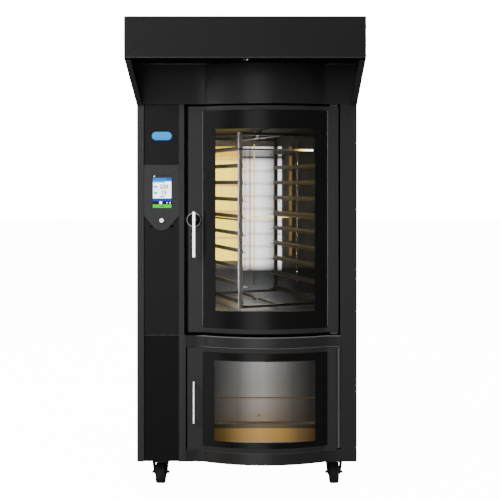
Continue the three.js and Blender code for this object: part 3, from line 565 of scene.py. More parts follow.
liner_steel = chamber_steel(
    "liner_steel", (0.14, 0.12, 0.090, 1), (0.21, 0.18, 0.14, 1), 0.24, (1, 0.06, 6), 0.6)
baffle_steel = chamber_steel(
    "baffle_steel", (0.13, 0.115, 0.09, 1), (0.19, 0.17, 0.135, 1), 0.32, (1, 1, 0.05), 0.6)
surround_steel = chamber_steel("surround_steel", grey(0.020), grey(0.032), 0.45, (0.06, 1, 6))
dull_steel = chamber_steel("dull_steel", grey(0.16), grey(0.26), 0.38)

dressed("oven_surround", 0.0006, surround_steel, "cabinet", "stainless")

UNDER_CEILING, ABOVE_FLOOR, LIGHT_FOOT = 1.742, 0.858, 0.985
# Painted shade: the liner's ceiling and floor are darker, and a painted pool of the lamp's light glows on
# the floor in emission.
on_ceiling = liner_steel.axis("Z").over(UNDER_CEILING, 0.004)
on_floor = 1 - liner_steel.axis("Z").over(ABOVE_FLOOR, 0.004)
liner_steel.touched(on_ceiling, (0.040, 0.036, 0.031, 1))
liner_steel.touched(on_floor, (0.070, 0.062, 0.052, 1))
painted_floor_light = across_chamber(liner_steel, [
    (0.0, 0.03), (0.28, 0.05), (0.40, 0.20), (0.50, 0.19), (0.60, 0.07), (0.76, 0.01)])
liner_steel.set(
    emission_strength=1.0, emission_color=liner_steel.mix(on_floor, grey(0.0), painted_floor_light),
    roughness=liner_steel.present("Roughness") + on_ceiling * 0.4 + on_floor * 0.15)
dressed("oven_liner", 0.0006, liner_steel, "cabinet", "stainless")

# The lamp's light on the baffle is painted on in emission, and below its foot the baffle is painted darker
# as shade.
glow_across = across_chamber(baffle_steel, [
    (0.0, 0.20), (0.28, 0.40), (0.36, 0.9), (0.50, 1.0), (0.60, 0.45), (0.76, 0.04)])
glow_up = ramp(baffle_steel, (baffle_steel.axis("Z") - 0.84) * 6.0, [
    (0.05, grey(0.19, -0.02)), (0.35, grey(0.085, -0.03)), (0.75, 0.020), (0.90, 0.0)])
baffle_steel.touched(1 - baffle_steel.axis("Z").over(LIGHT_FOOT, 0.01), grey(0.055))
baffle_steel.set(emission_strength=1.0, emission_color=tinted(baffle_steel, glow_across, glow_up))
dressed("rear_air_baffle", 0.0006, baffle_steel, "cabinet", "stainless")
dressed("convection_fan", 0.0004, dull_steel, "convection_wheel", "stainless")

# Round the chamber: the door's extruded rubber gasket, mineral wool behind the liner, the steel
# heating element, and the painted motors of the fan and of the rack.


def painted(finish, *nodes):
    """Gives nodes whose own solids show their finish."""
    for node in nodes:
        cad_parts[node].data.materials.clear()
        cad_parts[node].data.materials.append(finish.material)


gasket_rubber = Finish("gasket_rubber", roughness=0.55)
gasket_rubber.mottled(30, grey(0.012), grey(0.022))
gasket_rubber.bump(gasket_rubber.noise(420), 0.0001)
dressed("door_gasket", 0.0028, gasket_rubber, "cabinet", "gasket_rubber", 3)

wool = Finish("insulation_wool", roughness=0.95)
wool.mottled(45, (0.34, 0.28, 0.15, 1), (0.55, 0.47, 0.30, 1), detail=6)
wool.bump(wool.noise(160, detail=8), 0.002)
painted(wool, "insulation_jacket")
painted(dull_steel, "heating_element")

motor_paint = Finish("motor_paint", roughness=0.5, metallic=0.2)
motor_paint.mottled(8, (0.055, 0.075, 0.09, 1), (0.08, 0.10, 0.12, 1))
motor_paint.bump(motor_paint.noise(300), 0.0001)
painted(motor_paint, "fan_motor", "gearmotor")

# The cavity lamp: a tall lit glass plate in front of the rear wall, a warm lit panel and an amber
# strip beside it, and the thin guide rods that stand between them and the rack.

LAMP_LOW, LAMP_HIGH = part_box("cavity_lamp")
LAMP_FACE = LAMP_LOW.y


def waves(finish, start, pitch, edge, softness):
    """Level bands up the piece, one each pitch, for marks painted across a lit face, such as the shade of
    the rack's rails.
    """
    turns = (finish.axis("Z") - start) * (2 * math.pi / pitch)
    return turns.maths("COSINE", turns).over(edge, softness)


# Cream light and the seams of the reflector fill the plate's left end. A grey strip, a dark joint
# and a bright edge close it at the top, and it fades out at the bottom.
plate_glow = Finish("plate_glow", roughness=0.2, emission_strength=2.3)
across_plate = plate_glow.axis("X").share(LAMP_LOW.x, LAMP_HIGH.x)
up_plate = plate_glow.axis("Z").share(LAMP_LOW.z, LAMP_HIGH.z)
cream, seam, cool = (1.0, 0.78, 0.50, 1), (0.40, 0.33, 0.25, 1), (0.92, 0.94, 0.97, 1)
side_light = ramp(plate_glow, across_plate, [
    (0.00, cream), (0.045, cream), (0.065, seam), (0.085, 0.85), (0.15, 0.80), (0.19, seam),
    (0.22, 0.85), (0.33, cool), (0.46, cool), (0.62, 0.62), (0.74, grey(0.34, 0.08)),
    (0.862, grey(0.22, 0.10)), (0.878, 0.92), (0.955, 0.92), (0.968, 0.06)])
top_light = ramp(plate_glow, up_plate, [
    (0.00, 0.08), (0.07, 1.0), (0.84, 1.0), (0.90, 0.60), (0.908, 0.06),
    (0.918, 0.06), (0.926, 0.25), (0.965, 0.25), (0.973, 0.9), (1.0, 0.9)])
# Painted shadows of the rack's rails band the plate.
shadows = plate_glow.mix(waves(plate_glow, 1.040, 0.0714, 0.75, 0.35), grey(1.0), grey(0.68, 0.04))
glow = tinted(plate_glow, tinted(plate_glow, side_light, top_light), shadows)
CLIP_X, CLIP_RADIUS = 0.168, 0.004
for clip_level in [1.181, 1.370]:
    beyond_clip = plate_glow.from_line(CLIP_X, clip_level).over(CLIP_RADIUS ** 2, 6e-6)
    glow = plate_glow.mix(beyond_clip, grey(0.003), glow)
plate_glow.set(base_color=glow, emission_color=glow)
dressed("cavity_lamp", 0.0008, plate_glow, "cabinet", "lamp_glass")

PANEL_LEFT, PANEL_RIGHT, PANEL_HEAD, LIT_TOP = -0.215, -0.056, 1.615, 1.680
warm_glow = Finish("warm_glow", roughness=0.25, emission_strength=3.3)
across_panel = warm_glow.axis("X").share(PANEL_LEFT, PANEL_RIGHT)
tan, yellow = (0.80, 0.42, 0.10, 1), (1.0, 0.78, 0.0, 1)
warm = ramp(warm_glow, across_panel, [
    (0.06, tan), (0.14, yellow), (0.27, yellow), (0.33, (0.95, 0.55, 0.04, 1)), (0.40, yellow),
    (0.66, yellow), (0.72, (0.95, 0.58, 0.06, 1)), (0.80, (1.0, 0.70, 0.05, 1)), (1.0, tan)])
head_tint = warm_glow.mix(warm_glow.axis("Z").over(PANEL_HEAD, 0.006), grey(1.0), (0.55, 0.45, 0.60, 1))
warm_lines = waves(warm_glow, 1.3085, 0.149, 0.96, 0.04)
warm_glow.set(
    base_color=warm_glow.mix(warm_lines, (0.30, 0.22, 0.06, 1), (0.1, 0.06, 0.02, 1)),
    emission_color=warm_glow.mix(warm_lines, tinted(warm_glow, warm, head_tint), (0.60, 0.34, 0.06, 1)))
amber_glow = Finish("amber_glow", emission_strength=0.30, roughness=0.3)
dashes = waves(amber_glow, 1.300, 0.0845, 0.55, 0.2)
amber_glow.set(
    base_color=grey(0.05),
    emission_color=amber_glow.mix(dashes, (0.95, 0.55, 0.16, 1), (0.10, 0.06, 0.02, 1)))
for name, left, right, bottom, finish in [
    ("warm_lamp_panel", PANEL_LEFT, PANEL_RIGHT, 1.030, warm_glow),
    ("amber_lamp_strip", 0.224, 0.241, 1.050, amber_glow),
]:
    panel = slab((left, LAMP_FACE, bottom), (right, LAMP_FACE + 0.006, LIT_TOP), 0.0012, name)
    finished(panel, finish, "cabinet", "lamp_glass")


def polished_steel(name, level=0.78, roughness=0.14):
    steel = Finish(name, metallic=1.0)
    smear = steel.mottled(9, grey(level * 0.93), grey(level), detail=3)
    steel.set(roughness=smear * 0.10 + roughness)
    return steel


# The left rod's warm colour and its glow above the lamp's foot are painted light of the cavity lamp, and
# below the foot it is painted dark as shade.
warm_lit_rod = Finish("warm_lit_rod", metallic=0.3, emission_strength=1.0)
rod_tint = warm_lit_rod.mix(warm_lit_rod.noise(14), (0.80, 0.66, 0.18, 1), (1.0, 0.86, 0.34, 1))
rod_lit = warm_lit_rod.mix(warm_lit_rod.axis("Z").over(LIGHT_FOOT, 0.02), (0.05, 0.04, 0.025, 1), rod_tint)
warm_lit_rod.set(base_color=rod_lit, emission_color=rod_lit, roughness=warm_lit_rod.noise(80) * 0.1 + 0.2)
rod_steel = polished_steel("rod_steel", 0.62, 0.16)
for name, x, bottom, top, radius, finish in [
    ("guide_rod_left", 0.025, 0.894, 1.692, 0.0038, warm_lit_rod),
    ("guide_rod_right", 0.270, 0.900, 1.700, 0.004, rod_steel),
]:
    rod = turned(name, [(0, bottom), (radius, bottom), (radius, top), (0, top)],
                 (x, LAMP_FACE - 0.0048, 0), 16, "Z")
    finished(rod, finish, "cabinet", "stainless")
CROSSING_LEFT, CROSSING_RIGHT, CROSSING_RADIUS = -0.046, 0.222, 0.0034
# The crossing rod glows in emission, a painted highlight of the lamp's light.
rod_bright = sheet_of_light("rod_bright", (1.0, 0.84, 0.22, 1), 2.4)
crossing = turned("guide_rod_crossing", [
    (0, CROSSING_LEFT), (CROSSING_RADIUS, CROSSING_LEFT), (CROSSING_RADIUS, CROSSING_RIGHT),
    (0, CROSSING_RIGHT)], (0, LAMP_FACE - 0.0124, 1.279), 16, "X")
finished(crossing, rod_bright, "cabinet", "stainless")

# The rack: welded square tube with folded rails, all in drawn stainless that has darkened in the heat.
# On its two sides the rails are painted dark as shade and the posts beyond them painted bright as lit,
# and the whole right side is painted darker as shade. Weld beads show where the rails meet the four posts.

SPINDLE_LOW, SPINDLE_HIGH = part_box("drive_spindle")
RACK_AXIS = (SPINDLE_LOW + SPINDLE_HIGH) / 2
RACK_TURN = math.radians(22)
RAIL_END = 0.2755


def lit_and_shaded_rack_side(name, rail, post, away, roughness=0.26):
    """Rails painted dark as shade, with the posts beyond the rails' ends painted bright as lit."""
    steel = Finish(name, metallic=0.7)
    along = ((steel.axis("Y") - RACK_AXIS.y) * math.cos(RACK_TURN)
             - (steel.axis("X") - RACK_AXIS.x) * math.sin(RACK_TURN)) * away
    grain = steel.noise(50, (1, 1, 0.1), 3)
    steel.set(
        base_color=steel.mix(along.over(RAIL_END, 0.0005), rail, post), roughness=grain * 0.12 + roughness)
    return steel


rack_steel = chamber_steel("rack_steel", (0.20, 0.18, 0.15, 1), (0.32, 0.29, 0.24, 1), 0.24, (1, 1, 0.3))
# Painted light and shade: the left side's posts are painted bright, and the right side is painted dark all
# over.
left_rack_steel = lit_and_shaded_rack_side("left_rack_steel", grey(0.09, 0.05), grey(0.72, 0.02), -1)
shaded_right_rack_steel = lit_and_shaded_rack_side(
    "shaded_right_rack_steel", (0.055, 0.048, 0.037, 1), (0.085, 0.075, 0.060, 1), 1, 0.42)

# The left side's top tie carries a painted reflection of the lit strip under the chamber's ceiling: a
# darker grey with a glow in emission towards its right end.
TIE_BOTTOM, TIE_TOP = 1.632, 1.6435
on_tie = left_rack_steel.axis("Z").between(TIE_BOTTOM, TIE_TOP, 0.001)
left_rack_steel.touched(on_tie, grey(0.12))
painted_tie_reflection = ramp(left_rack_steel, (left_rack_steel.axis("X") + 0.02) * 2.7, [
    (0.00, 0.008), (0.50, 0.010), (0.68, (0.030, 0.024, 0.018, 1)), (0.74, (0.25, 0.16, 0.04, 1)),
    (0.80, (1.0, 0.82, 0.10, 1)), (0.90, 1.0)])
left_rack_steel.set(
    emission_strength=6.0, emission_color=left_rack_steel.mix(on_tie, grey(0.0), painted_tie_reflection))
for node, finish in [
    ("rack_left_side", left_rack_steel), ("rack_right_side", shaded_right_rack_steel),
    ("rack_top_frame", rack_steel), ("rack_base_frame", rack_steel), ("drive_spindle", rack_steel),
]:
    dressed(node, 0.0007, finish, "rack", "stainless")


def repeated(name, pattern, columns, rows, pitch, centre, finish, body, slot, turn=0.0):
    """Copies of one small form, at the points of an upright grid that may be turned about z."""
    tree = bpy.data.node_groups.new(name + "_grid", "GeometryNodeTree")
    inlets = [
        ("Geometry", "NodeSocketGeometry", None), ("Columns", "NodeSocketInt", columns),
        ("Rows", "NodeSocketInt", rows), ("Width", "NodeSocketFloat", (columns - 1) * pitch[0]),
        ("Height", "NodeSocketFloat", (rows - 1) * pitch[1]), ("Centre", "NodeSocketVector", centre),
        ("Turn", "NodeSocketVector", (math.pi / 2, 0, turn)),
        ("Material", "NodeSocketMaterial", finish.material),
    ]
    sockets = {label: tree.interface.new_socket(label, in_out="INPUT", socket_type=kind)
               for label, kind, value in inlets}
    tree.interface.new_socket("Geometry", in_out="OUTPUT", socket_type="NodeSocketGeometry")
    made = {kind: tree.nodes.new(kind) for kind in [
        "NodeGroupInput", "GeometryNodeMeshGrid", "GeometryNodeTransform", "GeometryNodeInstanceOnPoints",
        "GeometryNodeRealizeInstances", "GeometryNodeSetMaterial", "NodeGroupOutput"]}
    inlet, grid, move, copies, real, paint, outlet = made.values()
    for source, given, target, taken in [
        (inlet, "Columns", grid, "Vertices X"), (inlet, "Rows", grid, "Vertices Y"),
        (inlet, "Width", grid, "Size X"), (inlet, "Height", grid, "Size Y"),
        (grid, "Mesh", move, "Geometry"), (inlet, "Centre", move, "Translation"),
        (inlet, "Turn", move, "Rotation"), (move, "Geometry", copies, "Points"),
        (inlet, "Geometry", copies, "Instance"), (copies, "Instances", real, "Geometry"),
        (real, "Geometry", paint, "Geometry"), (inlet, "Material", paint, "Material"),
        (paint, "Geometry", outlet, "Geometry"),
    ]:
        tree.links.new(source.outputs[given], target.inputs[taken])
    modifier = pattern.modifiers.new("grid", "NODES")
    modifier.node_group = tree
    for label, kind, value in inlets:
        if value is not None:
            modifier[sockets[label].identifier] = value
    finished(frozen(pattern, name), finish, body, slot)


def on_rack(across, along, z):
    """A place in the rack's own frame, at the rest pose."""
    turned_place = Matrix.Rotation(RACK_TURN, 3, "Z") @ Vector((across, along, 0))
    return (RACK_AXIS.x + turned_place.x, RACK_AXIS.y + turned_place.y, z)


RAIL_LEVELS, RAIL_PITCH, MIDDLE_LEVEL = 10, 0.084, 1.265
WELD_ACROSS, WELD_ALONG = 0.2035, 0.2935
weld_bead = polished_steel("weld_bead", 0.20, 0.34)
for side, end in [(-1, -1), (-1, 1), (1, -1), (1, 1)]:
    bead = turned("bead_pattern", [
        (0, -0.009), (0.0016, -0.0075), (0.0022, 0), (0.0016, 0.0075), (0, 0.009)], (0, 0, 0), 8, "Z")
    name = "rail_welds_%s_%s" % ("left" if side < 0 else "right", "front" if end < 0 else "back")
    centre = on_rack(side * WELD_ACROSS, end * WELD_ALONG, MIDDLE_LEVEL)
    repeated(name, bead, 1, RAIL_LEVELS, (0, RAIL_PITCH), centre, weld_bead, "rack", "stainless", RACK_TURN)

# The upper door: a dark frame, one bulged pane with a black printed border round its clear
# window, thin bright trim down both edges of the pane, and a steel lever on a ringed black boss.

DOOR_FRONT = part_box("door_frame")[0].y
PANE_LOW, PANE_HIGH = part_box("door_outer_glass")
WINDOW = {"left": -0.149, "right": 0.324, "bottom": 0.865, "top": 1.730}

stile_coat = powder_coat("stile_coat", 0.022)
dressed("door_frame", SHEET_EDGE, stile_coat, "upper_door", "stile_sheet")


def printed_glass(name, window, clear, wider=0.0):
    """Black enamel round a clear window, both under the same polished surface."""
    glass = Finish(name)
    blur = 0.0012
    inside = (glass.axis("X").between(window["left"] - wider, window["right"] + wider, blur)
              * glass.axis("Z").between(window["bottom"] - wider, window["top"] + wider, blur))
    dust = glass.mottled(5, grey(0.003), grey(0.005), detail=4)
    glass.set(roughness=dust * 0.08 + 0.20, alpha=1 - inside * (1 - clear))
    glass.bump(glass.noise(1.6), 0.0006, 0.4)
    return glass


pane_glass = printed_glass("pane_glass", WINDOW, 0.14)
dressed("door_outer_glass", 0.0006, pane_glass, "upper_door", "door_glass")
inner_glass = printed_glass("inner_glass", WINDOW, 0.06, 0.02)
dressed("door_inner_glass", 0.0006, inner_glass, "upper_door", "door_glass")

trim_metal = Finish("trim_metal", metallic=0.6)
trim_metal.mottled(20, grey(0.16), grey(0.24), (1, 1, 0.02))
trim_metal.set(roughness=trim_metal.noise(90, (1, 1, 0.02)) * 0.2 + 0.25)
TRIM_HALF, TRIM_BOTTOM, TRIM_TOP = 0.0016, 0.791, 1.814
for side, x in [("left", PANE_LOW.x - TRIM_HALF), ("right", PANE_HIGH.x + TRIM_HALF)]:
    trim = slab((x - TRIM_HALF, DOOR_FRONT + 0.0612, TRIM_BOTTOM),
                (x + TRIM_HALF, DOOR_FRONT + 0.0650, TRIM_TOP), 0.0006, "pane_trim_" + side)
    finished(trim, trim_metal, "upper_door", "bright_steel")


def glowing_bar(name, node):
    """Pale brushed metal whose front face glows in emission, a painted highlight for the studio's light on
    it.
    """
    steel = Finish(name, metallic=0.1, emission_strength=2.2)
    grain = steel.mottled(30, grey(0.70), grey(0.85), (1, 1, 0.03), 4)
    behind_front = steel.axis("Y").over(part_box(node)[0].y + 0.0015, 0.001)
    steel.set(
        emission_color=steel.mix(1 - behind_front, grey(0.0), grey(1.0)), roughness=grain * 0.12 + 0.22)
    return steel


def slimmer(piece, share):
    """Narrows a bar from its left side, so that its right edge stays where it is."""
    right = max(vertex.co.x for vertex in piece.data.vertices)
    shift = Matrix.Translation((right * (1 - share), 0, 0))
    piece.data.transform(shift @ Matrix.Diagonal((share, 1, 1, 1)))
    return piece


bright_steel = polished_steel("bright_steel")
lever = slimmer(from_node("door_handle", 0.0018, 3), 0.74)
finished(lever, glowing_bar("lever_steel", "door_handle"), "handle", "bright_steel", "door_handle")
dressed("door_latch", 0.0008, bright_steel, "handle", "bright_steel")

BOSS_LOW, BOSS_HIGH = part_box("handle_rosette")
BOSS = (BOSS_LOW + BOSS_HIGH) / 2
BOSS_RADIUS, BOSS_BORE = (BOSS_HIGH.x - BOSS_LOW.x) / 2, 0.0115
RING_INSIDE = BOSS_RADIUS - 0.0042
boss_black = Finish("boss_black", roughness=0.5, specular_ior_level=0.2)
boss_black.mottled(60, grey(0.002), grey(0.004))
boss_black.bump(boss_black.noise(700), 0.00005)
boss_disc = turned("boss_disc", [
    (BOSS_BORE, BOSS_LOW.y + 0.0015), (RING_INSIDE - 0.0003, BOSS_LOW.y + 0.0015),
    (RING_INSIDE, BOSS_HIGH.y), (BOSS_BORE, BOSS_HIGH.y),
    (BOSS_BORE, BOSS_LOW.y + 0.0015)], (BOSS.x, 0, BOSS.z))
finished(boss_disc, boss_black, "upper_door", "bright_steel", "handle_rosette")
boss_ring = turned("boss_ring", [
    (RING_INSIDE, BOSS_HIGH.y), (RING_INSIDE, BOSS_LOW.y + 0.0006),
    (BOSS_RADIUS - 0.0030, BOSS_LOW.y - 0.0002), (BOSS_RADIUS - 0.0012, BOSS_LOW.y),
    (BOSS_RADIUS, BOSS_LOW.y + 0.0016), (BOSS_RADIUS, BOSS_HIGH.y),
    (RING_INSIDE, BOSS_HIGH.y)], (BOSS.x, 0, BOSS.z), 64)
finished(boss_ring, bright_steel, "upper_door", "bright_steel")

hinge_coat = powder_coat("hinge_coat", 0.045, 0.35)
for node in ["upper_hinge_top", "upper_hinge_bottom"]:
    dressed(node, 0.0009, hinge_coat, "cabinet", "zinc")

# The proofing cabinet: a drawn stainless chamber with two runners, a stop bar and a water trough with
# painted amber light on it, behind a second bulged door with a slim bar handle and a long steel hinge.

PROOF_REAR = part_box("proofer_liner")[1].y
PAN_LOW, PAN_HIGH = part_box("water_pan")
WALL_LEFT, WALL_RIGHT, PROOF_FLOOR = -0.287, 0.437, 0.205

proof_steel = chamber_steel("proof_steel", grey(0.34, 0.02), grey(0.42, 0.02), 0.42, (6, 1, 0.06), 0.35)
# Painted light: a broad bright band down the chamber's middle is a painted highlight of its brushed grain,
# and the warm glow at its foot, in emission, is painted light from the trough.
painted_sheen_band = ramp(proof_steel, proof_steel.axis("X").share(WALL_LEFT, WALL_RIGHT), [
    (0.08, 0.035), (0.17, 0.115), (0.32, 0.24), (0.43, grey(0.50, 0.01)), (0.50, grey(0.54, 0.02)),
    (0.61, grey(0.32, 0.02)), (0.72, grey(0.15, 0.02)), (0.85, 0.05)])
warm_foot = ramp(proof_steel, proof_steel.axis("Z").share(0.20, 0.70), [
    (0.010, 0.0), (0.014, (0.40, 0.28, 0.15, 1)), (0.12, (0.34, 0.27, 0.18, 1)),
    (0.30, (0.26, 0.22, 0.17, 1)), (0.48, (0.13, 0.12, 0.105, 1)), (0.80, 0.0)])
proof_steel.set(
    base_color=painted_sheen_band, emission_strength=1.0, emission_color=tinted(proof_steel, painted_sheen_band, warm_foot))
proof_steel.touched(1 - proof_steel.axis("Z").over(PROOF_FLOOR, 0.001), (0.30, 0.26, 0.19, 1))
dressed("proofer_liner", 0.0006, proof_steel, "cabinet", "stainless")
runner_steel = Finish("runner_steel", metallic=0.6)
runner_steel.mottled(12, (0.28, 0.17, 0.06, 1), (0.36, 0.23, 0.09, 1))
runner_steel.set(roughness=runner_steel.noise(70) * 0.12 + 0.24)
dressed("proofer_shelf", 0.0007, runner_steel, "cabinet", "stainless")

# The trough's front glows amber in emission, painted light, and inside the trough the amber is tinted
# cooler.
trough_glow = Finish("trough_glow", roughness=0.5, emission_strength=0.56)
amber = ramp(trough_glow, trough_glow.axis("X").share(PAN_LOW.x, PAN_HIGH.x), [
    (0.0, (0.06, 0.040, 0.012, 1)), (0.14, (0.20, 0.115, 0.025, 1)), (0.30, (0.62, 0.37, 0.12, 1)),
    (0.45, (1.0, 0.57, 0.17, 1)), (0.62, (0.80, 0.45, 0.12, 1)), (0.80, (0.26, 0.165, 0.06, 1)),
    (0.93, (0.09, 0.05, 0.015, 1))])
inside_trough = trough_glow.axis("Y").over(PAN_LOW.y + 0.0015, 0.0005)
amber = tinted(trough_glow, amber, trough_glow.mix(inside_trough, grey(1.0), (0.30, 0.40, 0.80, 1)))
trough_glow.set(base_color=tinted(trough_glow, amber, grey(0.25)), emission_color=amber)
trough_glow.bump(trough_glow.noise(60, (0.1, 1, 6), 3), 0.0001, 0.3)
dressed("water_pan", 0.0008, trough_glow, "cabinet", "stainless")

PAN_WALL, WATER_DEPTH = 0.0033, 0.045
water_look = Finish("water_look", roughness=0.06)
ripple = water_look.mottled(12, (0.030, 0.022, 0.012, 1), (0.050, 0.036, 0.018, 1), (1, 3, 1))
water_look.bump(ripple, 0.001, 0.5)
water = slab((PAN_LOW.x + PAN_WALL, PAN_LOW.y + PAN_WALL, PAN_LOW.z + PAN_WALL),
             (PAN_HIGH.x - PAN_WALL, PAN_HIGH.y - PAN_WALL, PAN_LOW.z + WATER_DEPTH),
             0.0012, "trough_water")
finished(water, water_look, "cabinet", "lamp_glass")

SENSOR_PITCH, SENSOR_TALL = 0.0088, 3.2
sensor = turned("sensor_pattern", [
    (0, -0.0026), (0.0018, -0.0022), (0.0022, 0.0006), (0, 0.0006)], (0, 0, 0), 12)
sensor.data.transform(Matrix.Diagonal((1, 1, SENSOR_TALL, 1)))
repeated("proofer_sensors", sensor, 2, 1, (SENSOR_PITCH, 0), (0.0557, PROOF_REAR - 0.0036, 0.238),
         dull_steel, "cabinet", "stainless")

dressed("lower_door_frame", SHEET_EDGE, stile_coat, "lower_door", "stile_sheet")
LOWER_WINDOW = {"left": -0.155, "right": 0.326, "bottom": 0.247, "top": 0.631}
lower_glass = printed_glass("lower_glass", LOWER_WINDOW, 0.14)
dressed("lower_door_glass", 0.0006, lower_glass, "lower_door", "door_glass")
bar = slimmer(from_node("lower_door_handle", 0.0012, 3), 0.70)
finished(bar, glowing_bar("bar_steel", "lower_door_handle"), "lower_door", "bright_steel", "lower_door_handle")
LOWER_LOW, LOWER_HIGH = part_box("lower_door_glass")
SEAM_HALF, SEAM_BOTTOM, SEAM_TOP = 0.0012, 0.224, 0.664
for side, x in [("left", LOWER_LOW.x - SEAM_HALF), ("right", LOWER_HIGH.x + SEAM_HALF)]:
    trim = slab((x - SEAM_HALF, DOOR_FRONT + 0.0616, SEAM_BOTTOM),
                (x + SEAM_HALF, DOOR_FRONT + 0.0645, SEAM_TOP), 0.0005, "lower_trim_" + side)
    finished(trim, stile_coat, "lower_door", "stile_sheet")

leaf_steel = chamber_steel("leaf_steel", grey(0.09), grey(0.13), 0.40, (6, 1, 0.05), 0.3)
dressed("lower_hinge_leaf", 0.0008, leaf_steel, "cabinet", "zinc")
LEAF_LOW, LEAF_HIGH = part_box("lower_hinge_leaf")
HINGE_LINE = (LEAF_LOW.x + 0.0055, -0.380, 0)
pin_top = turned("hinge_pin_top", [
    (0, LEAF_HIGH.z + 0.0026), (0.0024, LEAF_HIGH.z + 0.0022), (0.0034, LEAF_HIGH.z + 0.0006),
    (0.0034, LEAF_HIGH.z - 0.004), (0, LEAF_HIGH.z - 0.004)], HINGE_LINE, 20, "Z")
finished(pin_top, bright_steel, "cabinet", "bright_steel")

# The hood: a coated fascia and top between two cheeks, with a slotted filter, a lip along the gutter whose
# paler coat is a painted highlight, a white drain nub with a faint painted glow, and the zinc-plated
# housing of the fan under the outlet.

SHELL_LOW, SHELL_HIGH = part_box("hood_shell")
# The cheeks' coat is paler than the fascia's, as painted light from below.
hood_coat = powder_coat("hood_coat", 0.0082)
cheek_coat = powder_coat("cheek_coat", 0.030)
filter_coat = powder_coat("filter_coat", 0.006, 0.6, shine=0.1)
zinc = Finish("zinc_plate", metallic=0.6)
spangle = zinc.mottled(28, grey(0.36), grey(0.55), detail=3)
zinc.set(roughness=spangle * 0.2 + 0.26)
for node, finish in [
    ("hood_shell", hood_coat), ("hood_cheek_left", cheek_coat), ("hood_cheek_right", cheek_coat),
    ("hood_top", black_coat),
]:
    dressed(node, SHEET_EDGE, finish, "cabinet", "black_sheet")
dressed("hood_filter", 0.0006, filter_coat, "cabinet", "stainless")
dressed("hood_fan_housing", 0.0008, zinc, "cabinet", "zinc")
dressed("hood_impeller", 0.0004, dull_steel, "hood_wheel", "stainless")
LIP_BOTTOM, LIP_TOP = 2.0152, 2.0182
# The lip's paler coat is a painted highlight along the gutter.
lip_highlight_coat = powder_coat("lip_highlight_coat", 0.035, 0.40)
lip = slab((SHELL_LOW.x + 0.003, SHELL_LOW.y - 0.0006, LIP_BOTTOM),
           (SHELL_HIGH.x - 0.003, SHELL_LOW.y + 0.0014, LIP_TOP), 0.0005, "hood_lip")
finished(lip, lip_highlight_coat, "cabinet", "black_sheet")
# The nub glows faintly in emission, painted light that lifts it out of the fascia's shade.
nub_plastic = Finish("nub_plastic", roughness=0.45, emission_color=grey(1.0), emission_strength=0.1)
nub_plastic.mottled(90, grey(0.55), grey(0.70))
NUB_RADIUS, NUB_BOTTOM, NUB_TOP = 0.0030, 2.0050, 2.0112
nub = turned("drain_nub", [
    (0, NUB_BOTTOM), (NUB_RADIUS - 0.0008, NUB_BOTTOM + 0.0002), (NUB_RADIUS, NUB_BOTTOM + 0.0010),
    (NUB_RADIUS, NUB_TOP - 0.0008), (NUB_RADIUS - 0.0008, NUB_TOP), (0, NUB_TOP)],
    (0.0095, SHELL_LOW.y + 0.010, 0), 24, "Z")
finished(nub, nub_plastic, "cabinet", "bright_steel")

# The running gear and the body's underside and roof: dark cast forks with a stiffening rib down
# each cheek, black rubber tyres on axles with steel nuts, a zinc base frame and a bare steel roof.

tyre_rubber = Finish("tyre_rubber", roughness=0.6)
scuff = tyre_rubber.mottled(35, grey(0.010), grey(0.026), detail=5)
tyre_rubber.bump(scuff, 0.0004)
roof_steel = chamber_steel("roof_steel", grey(0.34), grey(0.46), 0.32, (0.06, 6, 1))
dressed("roof_panel", SHEET_EDGE, roof_steel, "cabinet", "stainless")
dressed("base_frame", SHEET_EDGE, zinc, "cabinet", "zinc")

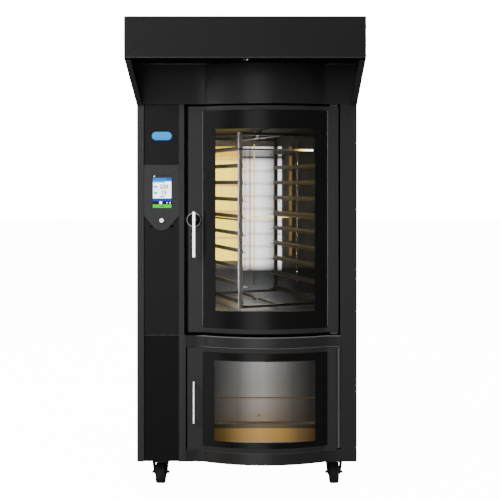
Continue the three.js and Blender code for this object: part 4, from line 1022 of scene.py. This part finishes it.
WHEEL_BORE = 0.0078
RIB_FRONT, RIB_THICK, RIB_WIDTH = 0.040, 0.0035, 0.012
RIB_BOTTOM, RIB_TOP, RIB_FOOT = 0.063, 0.126, 0.35
fork_steel = chamber_steel("fork_steel", grey(0.05), grey(0.09), 0.36)
for corner in ["front_left", "front_right", "rear_left", "rear_right"]:
    fork, wheel, caster = "caster_fork_" + corner, "caster_wheel_" + corner, "caster_" + corner
    dressed(fork, 0.0010, fork_steel, caster, "zinc")
    low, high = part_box(wheel)
    middle, radius, half = (low + high) / 2, (high.z - low.z) / 2, (high.x - low.x) / 2
    tyre = turned("tyre_" + corner, [
        (WHEEL_BORE, -half), (radius - 0.016, -half), (radius - 0.004, -half + 0.002),
        (radius - 0.0004, -half + 0.009), (radius - 0.0004, half - 0.009), (radius - 0.004, half - 0.002),
        (radius - 0.016, half), (WHEEL_BORE, half), (WHEEL_BORE, -half)], middle, 56, "X")
    finished(tyre, tyre_rubber, "wheel_" + corner, "tyre_rubber", wheel)
    fork_low, fork_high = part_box(fork)
    for side, outer, way in [("left", fork_low.x, -1), ("right", fork_high.x, 1)]:
        nut = turned("axle_nut_%s_%s" % (corner, side), [
            (0, outer + way * 0.0062), (0.0058, outer + way * 0.0060), (0.0072, outer + way * 0.0046),
            (0.0072, outer + way * 0.0002), (0, outer + way * 0.0002)], (0, middle.y, middle.z), 6, "X")
        finished(nut, bright_steel, caster, "bright_steel")
        cheek = outer - way * 0.006
        sides = sorted([cheek, cheek + way * RIB_WIDTH])
        rib = slab((sides[0], fork_low.y + RIB_FRONT, RIB_BOTTOM),
                   (sides[1], fork_low.y + RIB_FRONT + RIB_THICK, RIB_TOP), 0.0006,
                   "fork_rib_%s_%s" % (corner, side))
        for vertex in rib.data.vertices:
            share = RIB_FOOT + (1 - RIB_FOOT) * (vertex.co.z - RIB_BOTTOM) / (RIB_TOP - RIB_BOTTOM)
            vertex.co.x = cheek + (vertex.co.x - cheek) * share
        finished(rib, fork_steel, caster, "zinc")

# The fasteners: rows of socket-headed steel screws that hold the rear sheet to its frame, and the
# side sheets along their rear edge and at the foot.

SHEET_THICK = 0.0030
SIDE_FACE, REAR_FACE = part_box("right_side_panel")[1].x, REAR_SHEET + SHEET_THICK
screw_steel = polished_steel("screw_steel", 0.30, 0.32)
for name, axis, face, outward, columns, rows, pitch, middle, turn in [
    ("screws_rear_edges", "Y", REAR_FACE, 1, 2, 6, (0.988, 0.34), (0, 0, 1.09), 0.0),
    ("screws_rear_ends", "Y", REAR_FACE, 1, 4, 2, (0.24, 1.84), (0, 0, 1.09), 0.0),
    ("screws_left_rear", "X", -SIDE_FACE, -1, 1, 6, (0, 0.34), (0, 0.745, 1.09), math.pi / 2),
    ("screws_right_rear", "X", SIDE_FACE, 1, 1, 6, (0, 0.34), (0, 0.745, 1.09), math.pi / 2),
    ("screws_left_foot", "X", -SIDE_FACE, -1, 4, 1, (0.31, 0), (0, 0.19, 0.170), math.pi / 2),
    ("screws_right_foot", "X", SIDE_FACE, 1, 4, 1, (0.31, 0), (0, 0.19, 0.170), math.pi / 2),
]:
    head = turned("screw_pattern", [(radius, outward * height) for radius, height in [
        (0, 0.0001), (0.0050, 0.0001), (0.0050, 0.0010), (0.0036, 0.0022), (0.0017, 0.0024),
        (0.0017, 0.0010), (0, 0.0010)]], (0, 0, 0), 14, axis)
    centre = (middle[0], face, middle[2]) if axis == "Y" else (face, middle[1], middle[2])
    repeated(name, head, columns, rows, pitch, centre, screw_steel, "cabinet", "bright_steel", turn)
